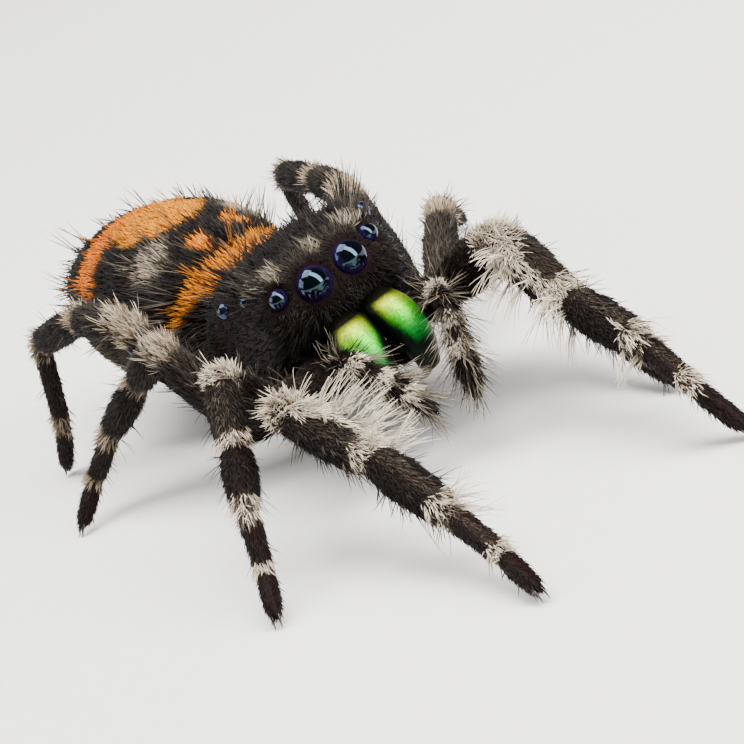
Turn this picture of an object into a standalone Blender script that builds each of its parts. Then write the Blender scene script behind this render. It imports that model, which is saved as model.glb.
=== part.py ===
"""Bold jumping spider, life size, standing with its front legs stretched forward.

All shapes are worked out in millimetres in the spider's own frame: +X is the way it faces, +Y its
left, +Z up, the floor at z = 0 and the carapace centre over the origin. Each finished piece is then
scaled to metres and moved so that the origin is the middle of the footprint.
"""
import math
import random
from dataclasses import dataclass, replace

import bmesh
import bpy
from mathutils import Matrix, Vector

MM = 0.001


@dataclass(frozen=True)
class LockShape:
    """Size of one lock of hair in millimetres, and how strongly it bends back to the skin."""

    length: float
    width: float
    thickness: float
    bend: float


@dataclass(frozen=True)
class Coat:
    """Rows of locks on one skin: where they stand, their size and how they lie.

    They lie towards the skin's far end, or towards its root end where reverse is set.
    """

    rows: int
    turns: tuple
    length: float
    width: float
    lift: float
    start: float = 0.1
    stop: float = 0.9
    bend: float = 0.25
    thickness: float = 0.16
    scatter: float = 10.0
    stagger: float = 0.05
    reverse: bool = False


COAT_SEED = "jumping spider"
FLOOR_CLEARANCE = 0.05
LOCK_CLEARANCE = 0.15
HEAD_HALF = (2.35, 1.98, 1.45)
# Along a lock: share of its length, share of its full width, share of its bend
LOCK_RINGS = ((-0.22, 0.75, 0.0), (0.30, 1.0, 0.05), (0.70, 0.62, 0.30))
LOCK_TIP_DROOP = 0.70

# Stance of the body
CARAPACE_HEIGHT = 2.5
CARAPACE_PITCH = 17.5
CARAPACE_ROLL = 3.0
PEDICEL_PLACE = (-2.45, 0.0, -0.25)
ABDOMEN_PITCH = 24.0
ABDOMEN_YAW = 14.0

# Carapace, as half lengths and heights in millimetres from its own centre
CARAPACE_SIDES = 24
CARAPACE_BOXINESS = 2.5
CARAPACE_SECTIONS = (
    # forward, half width, top, bottom
    (-2.38, 0.45, 0.00, -0.50),
    (-2.32, 0.78, 0.20, -0.66),
    (-2.10, 1.28, 0.56, -0.86),
    (-1.60, 1.74, 0.98, -1.02),
    (-1.00, 1.96, 1.30, -1.12),
    (-0.40, 1.98, 1.43, -1.16),
    (0.20, 1.88, 1.46, -1.15),
    (0.80, 1.68, 1.39, -1.04),
    (1.30, 1.50, 1.26, -0.78),
    (1.70, 1.31, 1.12, -0.52),
    (2.00, 1.09, 0.99, -0.36),
    (2.22, 0.82, 0.84, -0.22),
    (2.33, 0.50, 0.62, -0.06),
)

# Eyes: forward, side, up of the ball's centre and its radius
EYES = {
    "main": (2.10, 0.385, 0.36, 0.325),
    "front_side": (1.80, 0.99, 0.50, 0.19),
    "middle": (1.17, 1.35, 0.80, 0.10),
    "rear_side": (0.42, 1.55, 0.88, 0.17),
}
SOCKET_GAP = 0.05

# Chelicerae: forward, side, up and radius along the middle line, top to bottom
CHELICERA_PATH = (
    (2.02, 0.42, -0.72, 0.27),
    (2.24, 0.43, -0.90, 0.36),
    (2.33, 0.43, -1.20, 0.37),
    (2.33, 0.41, -1.52, 0.33),
    (2.29, 0.37, -1.78, 0.24),
)
CHELICERA_SIDES = 14
FANG_LENGTH = 0.42
FANG_RADIUS = 0.12

# Palps: forward, side, up and radius along the middle line
PALP_FEMUR_PATH = (
    (2.14, 1.08, -1.26, 0.18),
    (2.42, 1.10, -1.17, 0.20),
    (2.70, 1.09, -1.06, 0.20),
    (2.96, 1.04, -0.95, 0.19),
)
PALP_END_PATH = {
    "right": (
        (3.27, -0.98, -1.12, 0.20),
        (3.38, -0.90, -1.34, 0.22),
        (3.44, -0.76, -1.66, 0.23),
        (3.46, -0.58, -2.05, 0.26),
        (3.44, -0.44, -2.40, 0.21),
    ),
    "left": (
        (3.28, 0.95, -1.10, 0.20),
        (3.42, 0.85, -1.38, 0.22),
        (3.52, 0.68, -1.78, 0.23),
        (3.60, 0.50, -2.20, 0.26),
        (3.62, 0.36, -2.58, 0.21),
    ),
}
PALP_SIDES = 8

# Abdomen: half length, half width and half height, and its centre behind and above the pedicel
ABDOMEN_HALF = (3.08, 2.02, 1.78)
ABDOMEN_CENTRE = (-3.54, 0.0, 0.62)
ABDOMEN_SIDES = 24
ABDOMEN_BOXINESS = 2.15
ABDOMEN_PROFILE = (
    # share of the length from the front, share of the full girth
    (0.02, 0.34), (0.07, 0.58), (0.15, 0.78), (0.26, 0.92), (0.40, 1.00), (0.54, 0.99),
    (0.67, 0.91), (0.79, 0.76), (0.89, 0.55), (0.96, 0.33),
)
PEDICEL_RADIUS = 0.23
SPINNERET_LENGTH = 0.42
SPINNERET_RADIUS = 0.17

# Legs
SEGMENT_LENGTHS = {
    # femur, patella, tibia, metatarsus, tarsus
    1: (2.50, 1.95, 1.90, 1.40, 1.00),
    2: (2.10, 1.35, 1.40, 1.05, 0.85),
    3: (2.35, 1.30, 1.55, 1.20, 0.85),
    4: (3.20, 1.45, 1.95, 2.00, 1.05),
}
COXA_ROOT = {
    1: (1.05, 0.70, -0.95), 2: (0.35, 0.80, -1.00), 3: (-0.50, 0.80, -1.00), 4: (-1.20, 0.65, -0.95),
}
TROCHANTER = {
    1: (1.72, 1.68, -1.12), 2: (0.55, 1.88, -1.17), 3: (-0.58, 2.22, -1.17), 4: (-1.64, 1.98, -1.12),
}
FEMUR_RADIUS = {1: 0.46, 2: 0.40, 3: 0.37, 4: 0.40}
TARSUS_RADIUS = 0.25
COXA_RADIUS = 0.40
LEG_SIDES = 8
JOINT_GAP = 0.20
KNEE_RETREAT = 0.24
BEND_RETREAT = 0.36
END_BULGE = 0.38
FOOT_HEIGHT = 0.24


@dataclass(frozen=True)
class LegPose:
    """Headings (degrees to the spider's left) and rises of a leg's segments, hip to toe.

    The metatarsus has no rise of its own: it is worked out so that the foot meets the floor.
    """

    headings: tuple
    femur_rise: float
    patella_rise: float
    tibia_rise: float
    tarsus_rise: float


LEG_COATS = {
    # a leg's place in front or not, and its piece; the turns are those of a right leg
    ("front", "femur"): (Coat(3, (70, 130), 0.50, 0.36, 32, 0.3, 0.7),),
    ("front", "tibia"): (
        Coat(7, (30, 72), 0.66, 0.26, 50, 0.2, 0.84),
        Coat(5, (262,), 0.52, 0.28, 42, 0.2, 0.8),
    ),
    ("front", "foot"): (Coat(3, (60, 130), 0.40, 0.22, 34, 0.12, 0.6, thickness=0.12),),
    ("other", "femur"): (Coat(2, (65, 125), 0.46, 0.34, 30, 0.35, 0.62),),
    ("other", "tibia"): (Coat(4, (55, 125, 270), 0.46, 0.26, 38, 0.22, 0.8),),
    ("other", "foot"): (Coat(2, (60, 130), 0.36, 0.22, 32, 0.15, 0.55, thickness=0.12),),
}
PALP_COATS = {
    "femur": (Coat(1, (90,), 0.30, 0.22, 30, 0.35, 0.35, thickness=0.12),),
    "tarsus": (Coat(4, (40, 130), 0.40, 0.20, 40, 0.15, 0.8, thickness=0.12),),
}
ABDOMEN_COATS = (
    Coat(7, (20, 55, 90, 125, 160), 1.15, 0.80, 24, 0.08, 0.90, bend=0.30, thickness=0.18, scatter=7.0),
    Coat(5, (200, 245, 295, 340), 0.90, 0.80, 17, 0.18, 0.84, bend=0.30, thickness=0.18, scatter=7.0),
    Coat(4, (62, 90, 118), 0.98, 0.36, 57, 0.06, 0.40, bend=0.15, thickness=0.18, scatter=8.0),
)
CARAPACE_COATS = (
    Coat(
        5, (40, 73, 107, 140), 0.62, 0.46, 18, 0.20, 0.72, bend=0.35, thickness=0.15, scatter=6.0,
        reverse=True,
    ),
    Coat(1, (50, 130), 0.66, 0.30, 72, 0.60, 0.60, bend=0.10, thickness=0.15, scatter=2.0, reverse=True),
)

LEG_POSES = {
    (1, "right"): LegPose((-23, 15, 6, 2, -4), 17, -24, -24, -16),
    (1, "left"): LegPose((9, -1, 3, -5, 25), 24, -28, -19, -55),
    (2, "right"): LegPose((-40, -29, -29, -38, -28), 47, -36, -27, -30),
    (2, "left"): LegPose((28, -2, -2, 0, 2), 22, -32, -32, -16),
    (3, "right"): LegPose((-151, -158, -144, -138, -78), 60, -32, -34, -38),
    (3, "left"): LegPose((145, 160, 160, 155, 150), 16, -18, -20, -30),
    (4, "right"): LegPose((-156, -165, -163, -150, -150), 52, 4, -14, -58),
    (4, "left"): LegPose((167, 178, 180, 166, 160), 35, 4, -2, -58),
}

SIDES = (("right", -1.0), ("left", 1.0))


@dataclass(frozen=True)
class Finish:
    """Base colour (linear), roughness and metallic value of a Principled material."""

    colour: tuple
    roughness: float
    metallic: float = 0.0


FINISHES = {
    "dark_cuticle": Finish((0.030, 0.018, 0.014), 0.45),
    "body_coat": Finish((0.060, 0.050, 0.042), 0.85),
    "leg_coat": Finish((0.085, 0.075, 0.065), 0.85),
    "eye_lens": Finish((0.004, 0.004, 0.006), 0.05),
    "green_chelicera": Finish((0.120, 0.500, 0.060), 0.30, 0.6),
}


def clear_scene():
    """Remove whatever the scene holds."""
    for item in list(bpy.data.objects):
        bpy.data.objects.remove(item, do_unlink=True)


def make_materials():
    """Make one Principled material for each finish."""
    materials = {}
    for name, finish in FINISHES.items():
        material = bpy.data.materials.new(name)
        material.use_nodes = True
        shader = material.node_tree.nodes["Principled BSDF"]
        shader.inputs["Base Color"].default_value = (*finish.colour, 1.0)
        shader.inputs["Roughness"].default_value = finish.roughness
        shader.inputs["Metallic"].default_value = finish.metallic
        materials[name] = material
    return materials


def body_matrix():
    """Frame of the carapace: its centre, pitched up in front and rolled a little."""
    turn = Matrix.Rotation(math.radians(-CARAPACE_PITCH), 4, "Y")
    roll = Matrix.Rotation(math.radians(CARAPACE_ROLL), 4, "X")
    return Matrix.Translation((0.0, 0.0, CARAPACE_HEIGHT)) @ turn @ roll


def abdomen_matrix():
    """Frame of the abdomen: hinged at the pedicel, level again and swung to the right."""
    hinge = Matrix.Translation(PEDICEL_PLACE)
    yaw = Matrix.Rotation(math.radians(ABDOMEN_YAW), 4, "Z")
    pitch = Matrix.Rotation(math.radians(ABDOMEN_PITCH), 4, "Y")
    return body_matrix() @ hinge @ yaw @ pitch


def direction(heading, rise):
    """Unit vector with this heading to the left of forward and this rise, in degrees."""
    heading = math.radians(heading)
    rise = math.radians(rise)
    return Vector((math.cos(heading) * math.cos(rise), math.sin(heading) * math.cos(rise), math.sin(rise)))


def sideways(heading):
    """Level unit vector that points to the left of this heading."""
    heading = math.radians(heading)
    return Vector((-math.sin(heading), math.cos(heading), 0.0))


def leg_joints(number, side, sign):
    """Places of the trochanter and of the far end of each segment, hip to toe."""
    pose = LEG_POSES[(number, side)]
    forward, out, up = TROCHANTER[number]
    place = body_matrix() @ Vector((forward, sign * out, up))
    lengths = SEGMENT_LENGTHS[number]
    rises = [pose.femur_rise, pose.patella_rise, pose.tibia_rise]
    height = place.z
    for length, rise in zip(lengths, rises):
        height += length * math.sin(math.radians(rise))
    toe_drop = lengths[4] * math.sin(math.radians(pose.tarsus_rise))
    slope = (FOOT_HEIGHT - toe_drop - height) / lengths[3]
    rises += [math.degrees(math.asin(slope)), pose.tarsus_rise]
    joints = [place]
    for length, heading, rise in zip(lengths, pose.headings, rises):
        place = place + length * direction(heading, rise)
        joints.append(place)
    return joints


def mesh_piece(work, label):
    """Turn a finished bmesh into an object of the scene."""
    bmesh.ops.recalc_face_normals(work, faces=work.faces)
    mesh = bpy.data.meshes.new(label)
    work.to_mesh(mesh)
    work.free()
    piece = bpy.data.objects.new(label, mesh)
    bpy.context.scene.collection.objects.link(piece)
    return piece


class Skin:
    """Closed surface over rings of points, from its root end to its far end."""

    def __init__(self, rings, tips):
        self.rings = rings
        self.tips = tips

    def piece(self):
        """The surface as a mesh object."""
        work = bmesh.new()
        rows = [[work.verts.new(point) for point in ring] for ring in self.rings]
        count = len(rows[0])
        for lower, upper in zip(rows, rows[1:]):
            for index in range(count):
                after = (index + 1) % count
                work.faces.new((lower[index], lower[after], upper[after], upper[index]))
        for row, tip in ((rows[0], self.tips[0]), (rows[-1], self.tips[1])):
            pole = work.verts.new(tip)
            for index in range(count):
                work.faces.new((row[index], row[(index + 1) % count], pole))
        return mesh_piece(work, "skin")

    def point(self, share, turn):
        """Point at a share of the way along, and degrees round from the left side over the top."""
        count = len(self.rings[0])
        row = min(max(share, 0.0), 1.0) * (len(self.rings) - 1)
        lower = min(int(row), len(self.rings) - 2)
        column = (turn / 360.0) * count - 0.5
        left = math.floor(column)
        part = column - left
        ends = []
        for ring in self.rings[lower:lower + 2]:
            ends.append(ring[left % count].lerp(ring[(left + 1) % count], part))
        return ends[0].lerp(ends[1], row - lower)

    def place(self, share, turn):
        """A point of the surface with its outward normal and the direction of the far end."""
        here = self.point(share, turn)
        step = 0.03
        along = self.point(share + step, turn) - self.point(share - step, turn)
        round_way = self.point(share, turn + 12.0) - self.point(share, turn - 12.0)
        normal = along.cross(round_way).normalized()
        row = min(int(share * (len(self.rings) - 1) + 0.5), len(self.rings) - 1)
        middle = sum(self.rings[row], Vector()) / len(self.rings[row])
        if normal.dot(here - middle) < 0.0:
            normal = -normal
        return here, normal, along.normalized()


def superellipse(centre, across, upward, half_width, half_height, sides, power=2.0):
    """Points of a rounded ring; a power above 2 makes it boxier."""
    ring = []
    for index in range(sides):
        angle = 2.0 * math.pi * (index + 0.5) / sides
        cosine = math.cos(angle)
        sine = math.sin(angle)
        wide = math.copysign(abs(cosine) ** (2.0 / power), cosine) * half_width
        high = math.copysign(abs(sine) ** (2.0 / power), sine) * half_height
        ring.append(centre + across * wide + upward * high)
    return ring


def tube(points, radii, across, sides, flatness=1.0, caps=(0.6, 0.6)):
    """Loft a round limb along points, with rounded ends.

    across is a sideways vector for each point, flatness the height of a ring over its width, and
    caps how far each end bulges, as a share of its radius.
    """
    rings = []
    count = len(points)
    heading_vectors = []
    for index in range(count):
        before = points[max(index - 1, 0)]
        after = points[min(index + 1, count - 1)]
        heading_vectors.append((after - before).normalized())
    shrink = 0.72
    for index in range(count):
        along = heading_vectors[index]
        upward = along.cross(across[index]).normalized()
        flat = upward.cross(along).normalized()
        radius = radii[index]
        ring = (flat, upward, radius, radius * flatness)
        if index == 0:
            centre = points[0] - along * radius * caps[0] * 0.55
            rings.append(superellipse(centre, flat, upward, radius * shrink, ring[3] * shrink, sides))
        rings.append(superellipse(points[index], *ring, sides))
        if index == count - 1:
            centre = points[-1] + along * radius * caps[1] * 0.55
            rings.append(superellipse(centre, flat, upward, radius * shrink, ring[3] * shrink, sides))
    first = points[0] - heading_vectors[0] * radii[0] * caps[0]
    last = points[-1] + heading_vectors[-1] * radii[-1] * caps[1]
    return Skin(rings, (first, last))


def lock_piece(root, normal, lie, shape):
    """One flat, tapered lock of hair that leaves the skin along lie and bends back towards it."""
    across = normal.cross(lie).normalized()
    work = bmesh.new()
    rows = []
    for reach, width, droop in LOCK_RINGS:
        centre = root + lie * (shape.length * reach) - normal * (shape.length * droop * shape.bend)
        upward = normal * (shape.thickness * width)
        aside = across * (shape.width * width * 0.5)
        rows.append([work.verts.new(centre + step) for step in (aside, upward, -aside)])
    for lower, upper in zip(rows, rows[1:]):
        for index in range(3):
            after = (index + 1) % 3
            work.faces.new((lower[index], lower[after], upper[after]))
            work.faces.new((lower[index], upper[after], upper[index]))
    tip = work.verts.new(root + lie * shape.length - normal * (shape.length * LOCK_TIP_DROOP * shape.bend))
    for index in range(3):
        work.faces.new((rows[-1][index], rows[-1][(index + 1) % 3], tip))
    work.faces.new(rows[0])
    return mesh_piece(work, "lock")


def leg_capsules():
    """Label, ends and radius of each leg segment, as a rough shape for locks to keep clear of."""
    capsules = []
    for number in SEGMENT_LENGTHS:
        for side, sign in SIDES:
            joints = leg_joints(number, side, sign)
            radii = (1.08, 0.95, 0.85, 0.65, 0.65)
            for start, end, share in zip(joints, joints[1:], radii):
                capsules.append((f"leg_{number}_{side}", start, end, FEMUR_RADIUS[number] * share))
    return capsules


def blocked(point, label):
    """Whether a lock's point comes too near the carapace or a leg that it doesn't grow from."""
    if point.z < FLOOR_CLEARANCE:
        return True
    if label != "carapace":
        inside = body_matrix().inverted() @ point
        shares = [inside[axis] / (HEAD_HALF[axis] + LOCK_CLEARANCE) for axis in range(3)]
        if sum(share * share for share in shares) < 1.0:
            return True
    for owner, start, end, radius in leg_capsules():
        if label.startswith(owner):
            continue
        line = end - start
        share = min(max((point - start).dot(line) / line.length_squared, 0.0), 1.0)
        if (point - start.lerp(end, share)).length < radius + LOCK_CLEARANCE:
            return True
    return False


def coat_pieces(skin, coat, chance, label):
    """Locks of one coat over a skin, in staggered rows along it."""
    pieces = []
    for row in range(coat.rows):
        share = coat.start + (coat.stop - coat.start) * row / max(coat.rows - 1, 1)
        for index, turn in enumerate(coat.turns):
            stagger = coat.stagger * (0.5 if (row + index) % 2 else 0.0)
            turn += chance.uniform(-1.0, 1.0) * coat.scatter
            here, normal, along = skin.place(min(share + stagger, coat.stop), turn)
            end = skin.tips[1]
            if coat.reverse:
                along = -along
                end = skin.tips[0]
            lift = math.radians(coat.lift + chance.uniform(-6.0, 6.0))
            aside = normal.cross(along) * math.sin(math.radians(chance.uniform(-14.0, 14.0)))
            lie = (along * math.cos(lift) + normal * math.sin(lift) + aside).normalized()
            room = ((end - here).dot(along) - LOCK_CLEARANCE) / math.cos(lift)
            length = min(coat.length * chance.uniform(0.85, 1.12), room)
            shape = LockShape(length, coat.width * chance.uniform(0.9, 1.1), coat.thickness, coat.bend)
            if length < 0.5 * coat.length or blocked(here + lie * length, label):
                continue
            upright = (normal - lie * normal.dot(lie)).normalized()
            pieces.append(lock_piece(here, upright, lie, shape))
    return pieces


def coated(skin, coats, label):
    """The skin's solid with the locks of its coats fused on."""
    chance = random.Random(f"{COAT_SEED} {label}")
    body = skin.piece()
    locks = [piece for coat in coats for piece in coat_pieces(skin, coat, chance, label)]
    apply_boolean(body, locks, "UNION")
    return body


def ball(centre, radius, axis, segments, rows):
    """Sphere with its pole along an axis."""
    work = bmesh.new()
    turn = Vector((0.0, 0.0, 1.0)).rotation_difference(axis).to_matrix().to_4x4()
    place = Matrix.Translation(centre) @ turn
    bmesh.ops.create_uvsphere(work, u_segments=segments, v_segments=rows, radius=radius, matrix=place)
    mesh = bpy.data.meshes.new("ball")
    work.to_mesh(mesh)
    work.free()
    piece = bpy.data.objects.new("ball", mesh)
    bpy.context.scene.collection.objects.link(piece)
    return piece


def apply_boolean(base, others, operation):
    """Join or cut the base with the other pieces in one step, then remove those."""
    group = bpy.data.collections.new("operands")
    bpy.context.scene.collection.children.link(group)
    for piece in others:
        group.objects.link(piece)
    step = base.modifiers.new("boolean", "BOOLEAN")
    step.operation = operation
    step.operand_type = "COLLECTION"
    step.collection = group
    step.solver = "EXACT"
    graph = bpy.context.evaluated_depsgraph_get()
    graph.update()
    result = bpy.data.meshes.new_from_object(base.evaluated_get(graph))
    base.modifiers.remove(step)
    base.data = result
    for piece in others:
        bpy.data.objects.remove(piece, do_unlink=True)
    bpy.data.collections.remove(group)


def keep_largest(piece):
    """Drop every closed surface but the largest from a piece."""
    work = bmesh.new()
    work.from_mesh(piece.data)
    waiting = set(work.faces)
    shells = []
    while waiting:
        shell = set()
        front = [waiting.pop()]
        while front:
            face = front.pop()
            shell.add(face)
            for edge in face.edges:
                for other in edge.link_faces:
                    if other in waiting:
                        waiting.discard(other)
                        front.append(other)
        shells.append(shell)
    shells.sort(key=lambda shell: sum(face.calc_area() for face in shell))
    loose = [face for shell in shells[:-1] for face in shell]
    if loose:
        bmesh.ops.delete(work, geom=loose, context="FACES")
    work.to_mesh(piece.data)
    work.free()


def stand_on_floor(piece):
    """Cut a foot off flat at the floor."""
    work = bmesh.new()
    work.from_mesh(piece.data)
    everything = list(work.verts) + list(work.edges) + list(work.faces)
    cut = bmesh.ops.bisect_plane(
        work, geom=everything, plane_co=(0.0, 0.0, 0.0), plane_no=(0.0, 0.0, -1.0), clear_outer=True
    )
    rim = [item for item in cut["geom_cut"] if isinstance(item, bmesh.types.BMEdge)]
    bmesh.ops.holes_fill(work, edges=rim, sides=0)
    bmesh.ops.recalc_face_normals(work, faces=work.faces)
    work.to_mesh(piece.data)
    work.free()


def finish_node(piece, name, material):
    """Name a finished piece, shade it smooth and give it its material."""
    keep_largest(piece)
    piece.name = name
    piece.data.name = name
    piece.data.materials.clear()
    piece.data.materials.append(material)
    piece.data.shade_smooth()
    return piece


def carapace_skin():
    """Loft of the carapace and the plate under it."""
    frame = body_matrix()
    axes = frame.to_3x3()
    across = axes @ Vector((0.0, 1.0, 0.0))
    upward = axes @ Vector((0.0, 0.0, 1.0))
    rings = []
    for forward, half_width, top, bottom in CARAPACE_SECTIONS:
        centre = frame @ Vector((forward, 0.0, 0.5 * (top + bottom)))
        half_height = 0.5 * (top - bottom)
        size = (half_width, half_height, CARAPACE_SIDES, CARAPACE_BOXINESS)
        rings.append(superellipse(centre, across, upward, *size))
    first = CARAPACE_SECTIONS[0]
    last = CARAPACE_SECTIONS[-1]
    rear = frame @ Vector((first[0] - 0.03, 0.0, 0.5 * (first[2] + first[3])))
    front = frame @ Vector((last[0] + 0.04, 0.0, 0.5 * (last[2] + last[3])))
    return Skin(rings, (rear, front))


def coxa_root(number, sign):
    """Place on the breastplate where a hip segment starts."""
    forward, out, up = COXA_ROOT[number]
    return body_matrix() @ Vector((forward, sign * out, up))


def retreat(radius, before, after):
    """How far a segment of this radius stops short of a joint that turns from before to after."""
    return JOINT_GAP * 0.5 + radius * (KNEE_RETREAT + BEND_RETREAT * (1.0 - before.dot(after)))


def coxa_piece(number, side, sign):
    """Hip segment from the breastplate out to just short of the femur."""
    root = coxa_root(number, sign)
    hip, knee = leg_joints(number, side, sign)[:2]
    out = (hip - root).normalized()
    end = hip - out * retreat(COXA_RADIUS, out, (knee - hip).normalized())
    points = [root, root.lerp(end, 0.5), end]
    radii = [COXA_RADIUS * 0.9, COXA_RADIUS, COXA_RADIUS * 0.86]
    across = [out.cross(Vector((0.0, 0.0, 1.0))).normalized()] * len(points)
    return tube(points, radii, across, LEG_SIDES, caps=(0.5, END_BULGE)).piece()


def eye_places():
    """Name, centre, radius and outward axis of each of the eight eyes."""
    frame = body_matrix()
    places = []
    for label, (forward, out, up, radius) in EYES.items():
        for side, sign in SIDES:
            centre = frame @ Vector((forward, sign * out, up))
            axis = (centre - frame @ Vector((0.3, 0.0, 0.0))).normalized()
            places.append((f"eye_{label}_{side}", centre, radius, axis))
    return places


def make_cephalothorax(materials):
    """Head and thorax: the carapace with its eight hips and its eye sockets."""
    skin = carapace_skin()
    body = coated(skin, CARAPACE_COATS, "carapace")
    hips = [coxa_piece(number, *side) for number in SEGMENT_LENGTHS for side in SIDES]
    apply_boolean(body, hips, "UNION")
    sockets = []
    for _, centre, radius, axis in eye_places():
        segments = 14 if radius > 0.3 else 10
        sockets.append(ball(centre, radius + SOCKET_GAP, axis, segments, segments // 2))
    apply_boolean(body, sockets, "DIFFERENCE")
    return finish_node(body, "cephalothorax", materials["dark_cuticle"])


def make_eyes(materials):
    """The eight eyes, each a ball in its socket."""
    eyes = []
    for name, centre, radius, axis in eye_places():
        segments = 16 if radius > 0.3 else 10
        eye = ball(centre, radius, axis, segments, segments // 2)
        eyes.append(finish_node(eye, name, materials["eye_lens"]))
    return eyes


def path_in_body(path, sign=1.0):
    """Turn rows of forward, side, up and radius into places and radii."""
    frame = body_matrix()
    points = [frame @ Vector((forward, sign * out, up)) for forward, out, up, _ in path]
    radii = [row[3] for row in path]
    return points, radii


def make_chelicerae(materials):
    """The two jaws, each with its fang folded under the lower end."""
    made = []
    frame = body_matrix()
    left = frame.to_3x3() @ Vector((0.0, 1.0, 0.0))
    for side, sign in SIDES:
        points, radii = path_in_body(CHELICERA_PATH, sign)
        jaw = tube(points, radii, [left] * len(points), CHELICERA_SIDES, flatness=1.02).piece()
        end = frame @ Vector((2.22, sign * 0.36, -1.86))
        tip = frame @ Vector((1.98, sign * 0.16, -1.86 - FANG_LENGTH * 0.5))
        middle = end.lerp(tip, 0.5) + (frame.to_3x3() @ Vector((0.02, sign * 0.05, -0.05)))
        fang_radii = [FANG_RADIUS, FANG_RADIUS * 0.8, FANG_RADIUS * 0.35]
        fang = tube([end, middle, tip], fang_radii, [left] * 3, 6).piece()
        apply_boolean(jaw, [fang], "UNION")
        made.append(finish_node(jaw, f"chelicera_{side}", materials["green_chelicera"]))
    return made


def make_palps(materials):
    """The two palps, each a femur and an end with patella, tibia and tarsus."""
    made = []
    left = body_matrix().to_3x3() @ Vector((0.0, 1.0, 0.0))
    for side, sign in SIDES:
        points, radii = path_in_body(PALP_FEMUR_PATH, sign)
        femur = tube(points, radii, [left] * len(points), PALP_SIDES)
        points, radii = path_in_body(PALP_END_PATH[side])
        end = tube(points, radii, [left] * len(points), PALP_SIDES)
        for skin, kind in ((femur, "femur"), (end, "tarsus")):
            name = f"palp_{side}_{kind}"
            made.append(finish_node(coated(skin, PALP_COATS[kind], name), name, materials["leg_coat"]))
    return made


def make_abdomen(materials):
    """The egg-shaped abdomen, with the pedicel before it and the spinnerets behind."""
    frame = abdomen_matrix()
    axes = frame.to_3x3()
    across = axes @ Vector((0.0, 1.0, 0.0))
    upward = axes @ Vector((0.0, 0.0, 1.0))
    half_length, half_width, half_height = ABDOMEN_HALF
    middle = Vector(ABDOMEN_CENTRE)
    rings = []
    for share, girth in ABDOMEN_PROFILE:
        centre = frame @ (middle + Vector((half_length * (1.0 - 2.0 * share), 0.0, 0.0)))
        size = (half_width * girth, half_height * girth, ABDOMEN_SIDES, ABDOMEN_BOXINESS)
        rings.append(superellipse(centre, across, upward, *size))
    front = frame @ (middle + Vector((half_length, 0.0, 0.0)))
    rear = frame @ (middle - Vector((half_length, 0.0, 0.0)))
    body = coated(Skin(rings, (front, rear)), ABDOMEN_COATS, "abdomen")
    abdomen = finish_node(body, "abdomen", materials["body_coat"])
    return [abdomen] + make_spinnerets(frame, middle, materials)


def make_spinnerets(frame, middle, materials):
    """The small cluster of spinnerets at the rear end."""
    axes = frame.to_3x3()
    across = axes @ Vector((0.0, 1.0, 0.0))
    back = axes @ Vector((-1.0, 0.0, -0.25)).normalized()
    root = frame @ (middle + Vector((-ABDOMEN_HALF[0] - 0.16, 0.0, -0.12)))
    base = tube([root, root + back * 0.16], [0.36, 0.34], [across] * 2, 10, caps=(0.1, 0.1)).piece()
    cones = []
    for out in (-0.16, 0.16):
        for lift in (-0.10, 0.12):
            start = root + across * out + axes @ Vector((0.0, 0.0, lift))
            tip = start + back * SPINNERET_LENGTH + across * out * 0.8
            radii = [SPINNERET_RADIUS, SPINNERET_RADIUS * 0.95, SPINNERET_RADIUS * 0.6]
            cones.append(tube([start, start.lerp(tip, 0.6), tip], radii, [across] * 3, 5).piece())
    apply_boolean(base, cones, "UNION")
    return [finish_node(base, "spinnerets", materials["body_coat"])]


def limb(points, radii, headings, flatness=1.0):
    """Tube along leg points, set square to each segment's heading."""
    across = [sideways(heading) for heading in headings]
    return tube(points, radii, across, LEG_SIDES, flatness, (END_BULGE, END_BULGE))


def leg_coats(kind, part, side):
    """Coats of one piece of a leg, mirrored for a left leg."""
    coats = LEG_COATS[(kind, part)]
    if side == "right":
        return coats
    return [replace(coat, turns=tuple((180 - turn) % 360 for turn in coat.turns)) for coat in coats]


def make_leg(number, side, sign, materials):
    """Femur, tibia with patella, and foot of one leg."""
    joints = leg_joints(number, side, sign)
    headings = LEG_POSES[(number, side)].headings
    thick = FEMUR_RADIUS[number]

    hip, knee, shin, ankle, heel, toe = joints
    along = (knee - hip).normalized()
    first = (shin - knee).normalized()
    knee_retreat = retreat(thick, along, first)
    inward = (hip - coxa_root(number, sign)).normalized()
    start = hip + along * retreat(thick, inward, along)
    end = knee - along * knee_retreat
    points = [start, start.lerp(end, 0.35), start.lerp(end, 0.75), end]
    radii = [thick * 0.72, thick, thick * 0.92, thick * 0.74]
    femur = limb(points, radii, [headings[0]] * 4, 1.08)

    second = (ankle - shin).normalized()
    third = (heel - ankle).normalized()
    slim = max(thick * 0.58, TARSUS_RADIUS)
    ankle_retreat = retreat(slim, second, third)
    start = knee + first * knee_retreat
    end = ankle - second * ankle_retreat
    points = [start, start.lerp(shin, 0.5), shin, shin.lerp(end, 0.3), shin.lerp(end, 0.7), end]
    radii = [thick * 0.76, thick * 0.90, thick * 0.74, thick * 0.82, thick * 0.78, thick * 0.60]
    tibia = limb(points, radii, [headings[1]] * 3 + [headings[2]] * 3)

    start = ankle + third * ankle_retreat
    points = [start, start.lerp(heel, 0.5), heel, heel.lerp(toe, 0.5), toe]
    radii = [slim, slim * 0.95, TARSUS_RADIUS, TARSUS_RADIUS * 1.04, TARSUS_RADIUS]
    foot = limb(points, radii, [headings[3], headings[3], headings[4], headings[4], headings[4]])

    made = []
    kind = "front" if number == 1 else "other"
    for skin, part in ((femur, "femur"), (tibia, "tibia"), (foot, "foot")):
        name = f"leg_{number}_{side}_{part}"
        piece = coated(skin, leg_coats(kind, part, side), name)
        if part == "foot":
            stand_on_floor(piece)
        made.append(finish_node(piece, name, materials["leg_coat"]))
    return made


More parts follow.
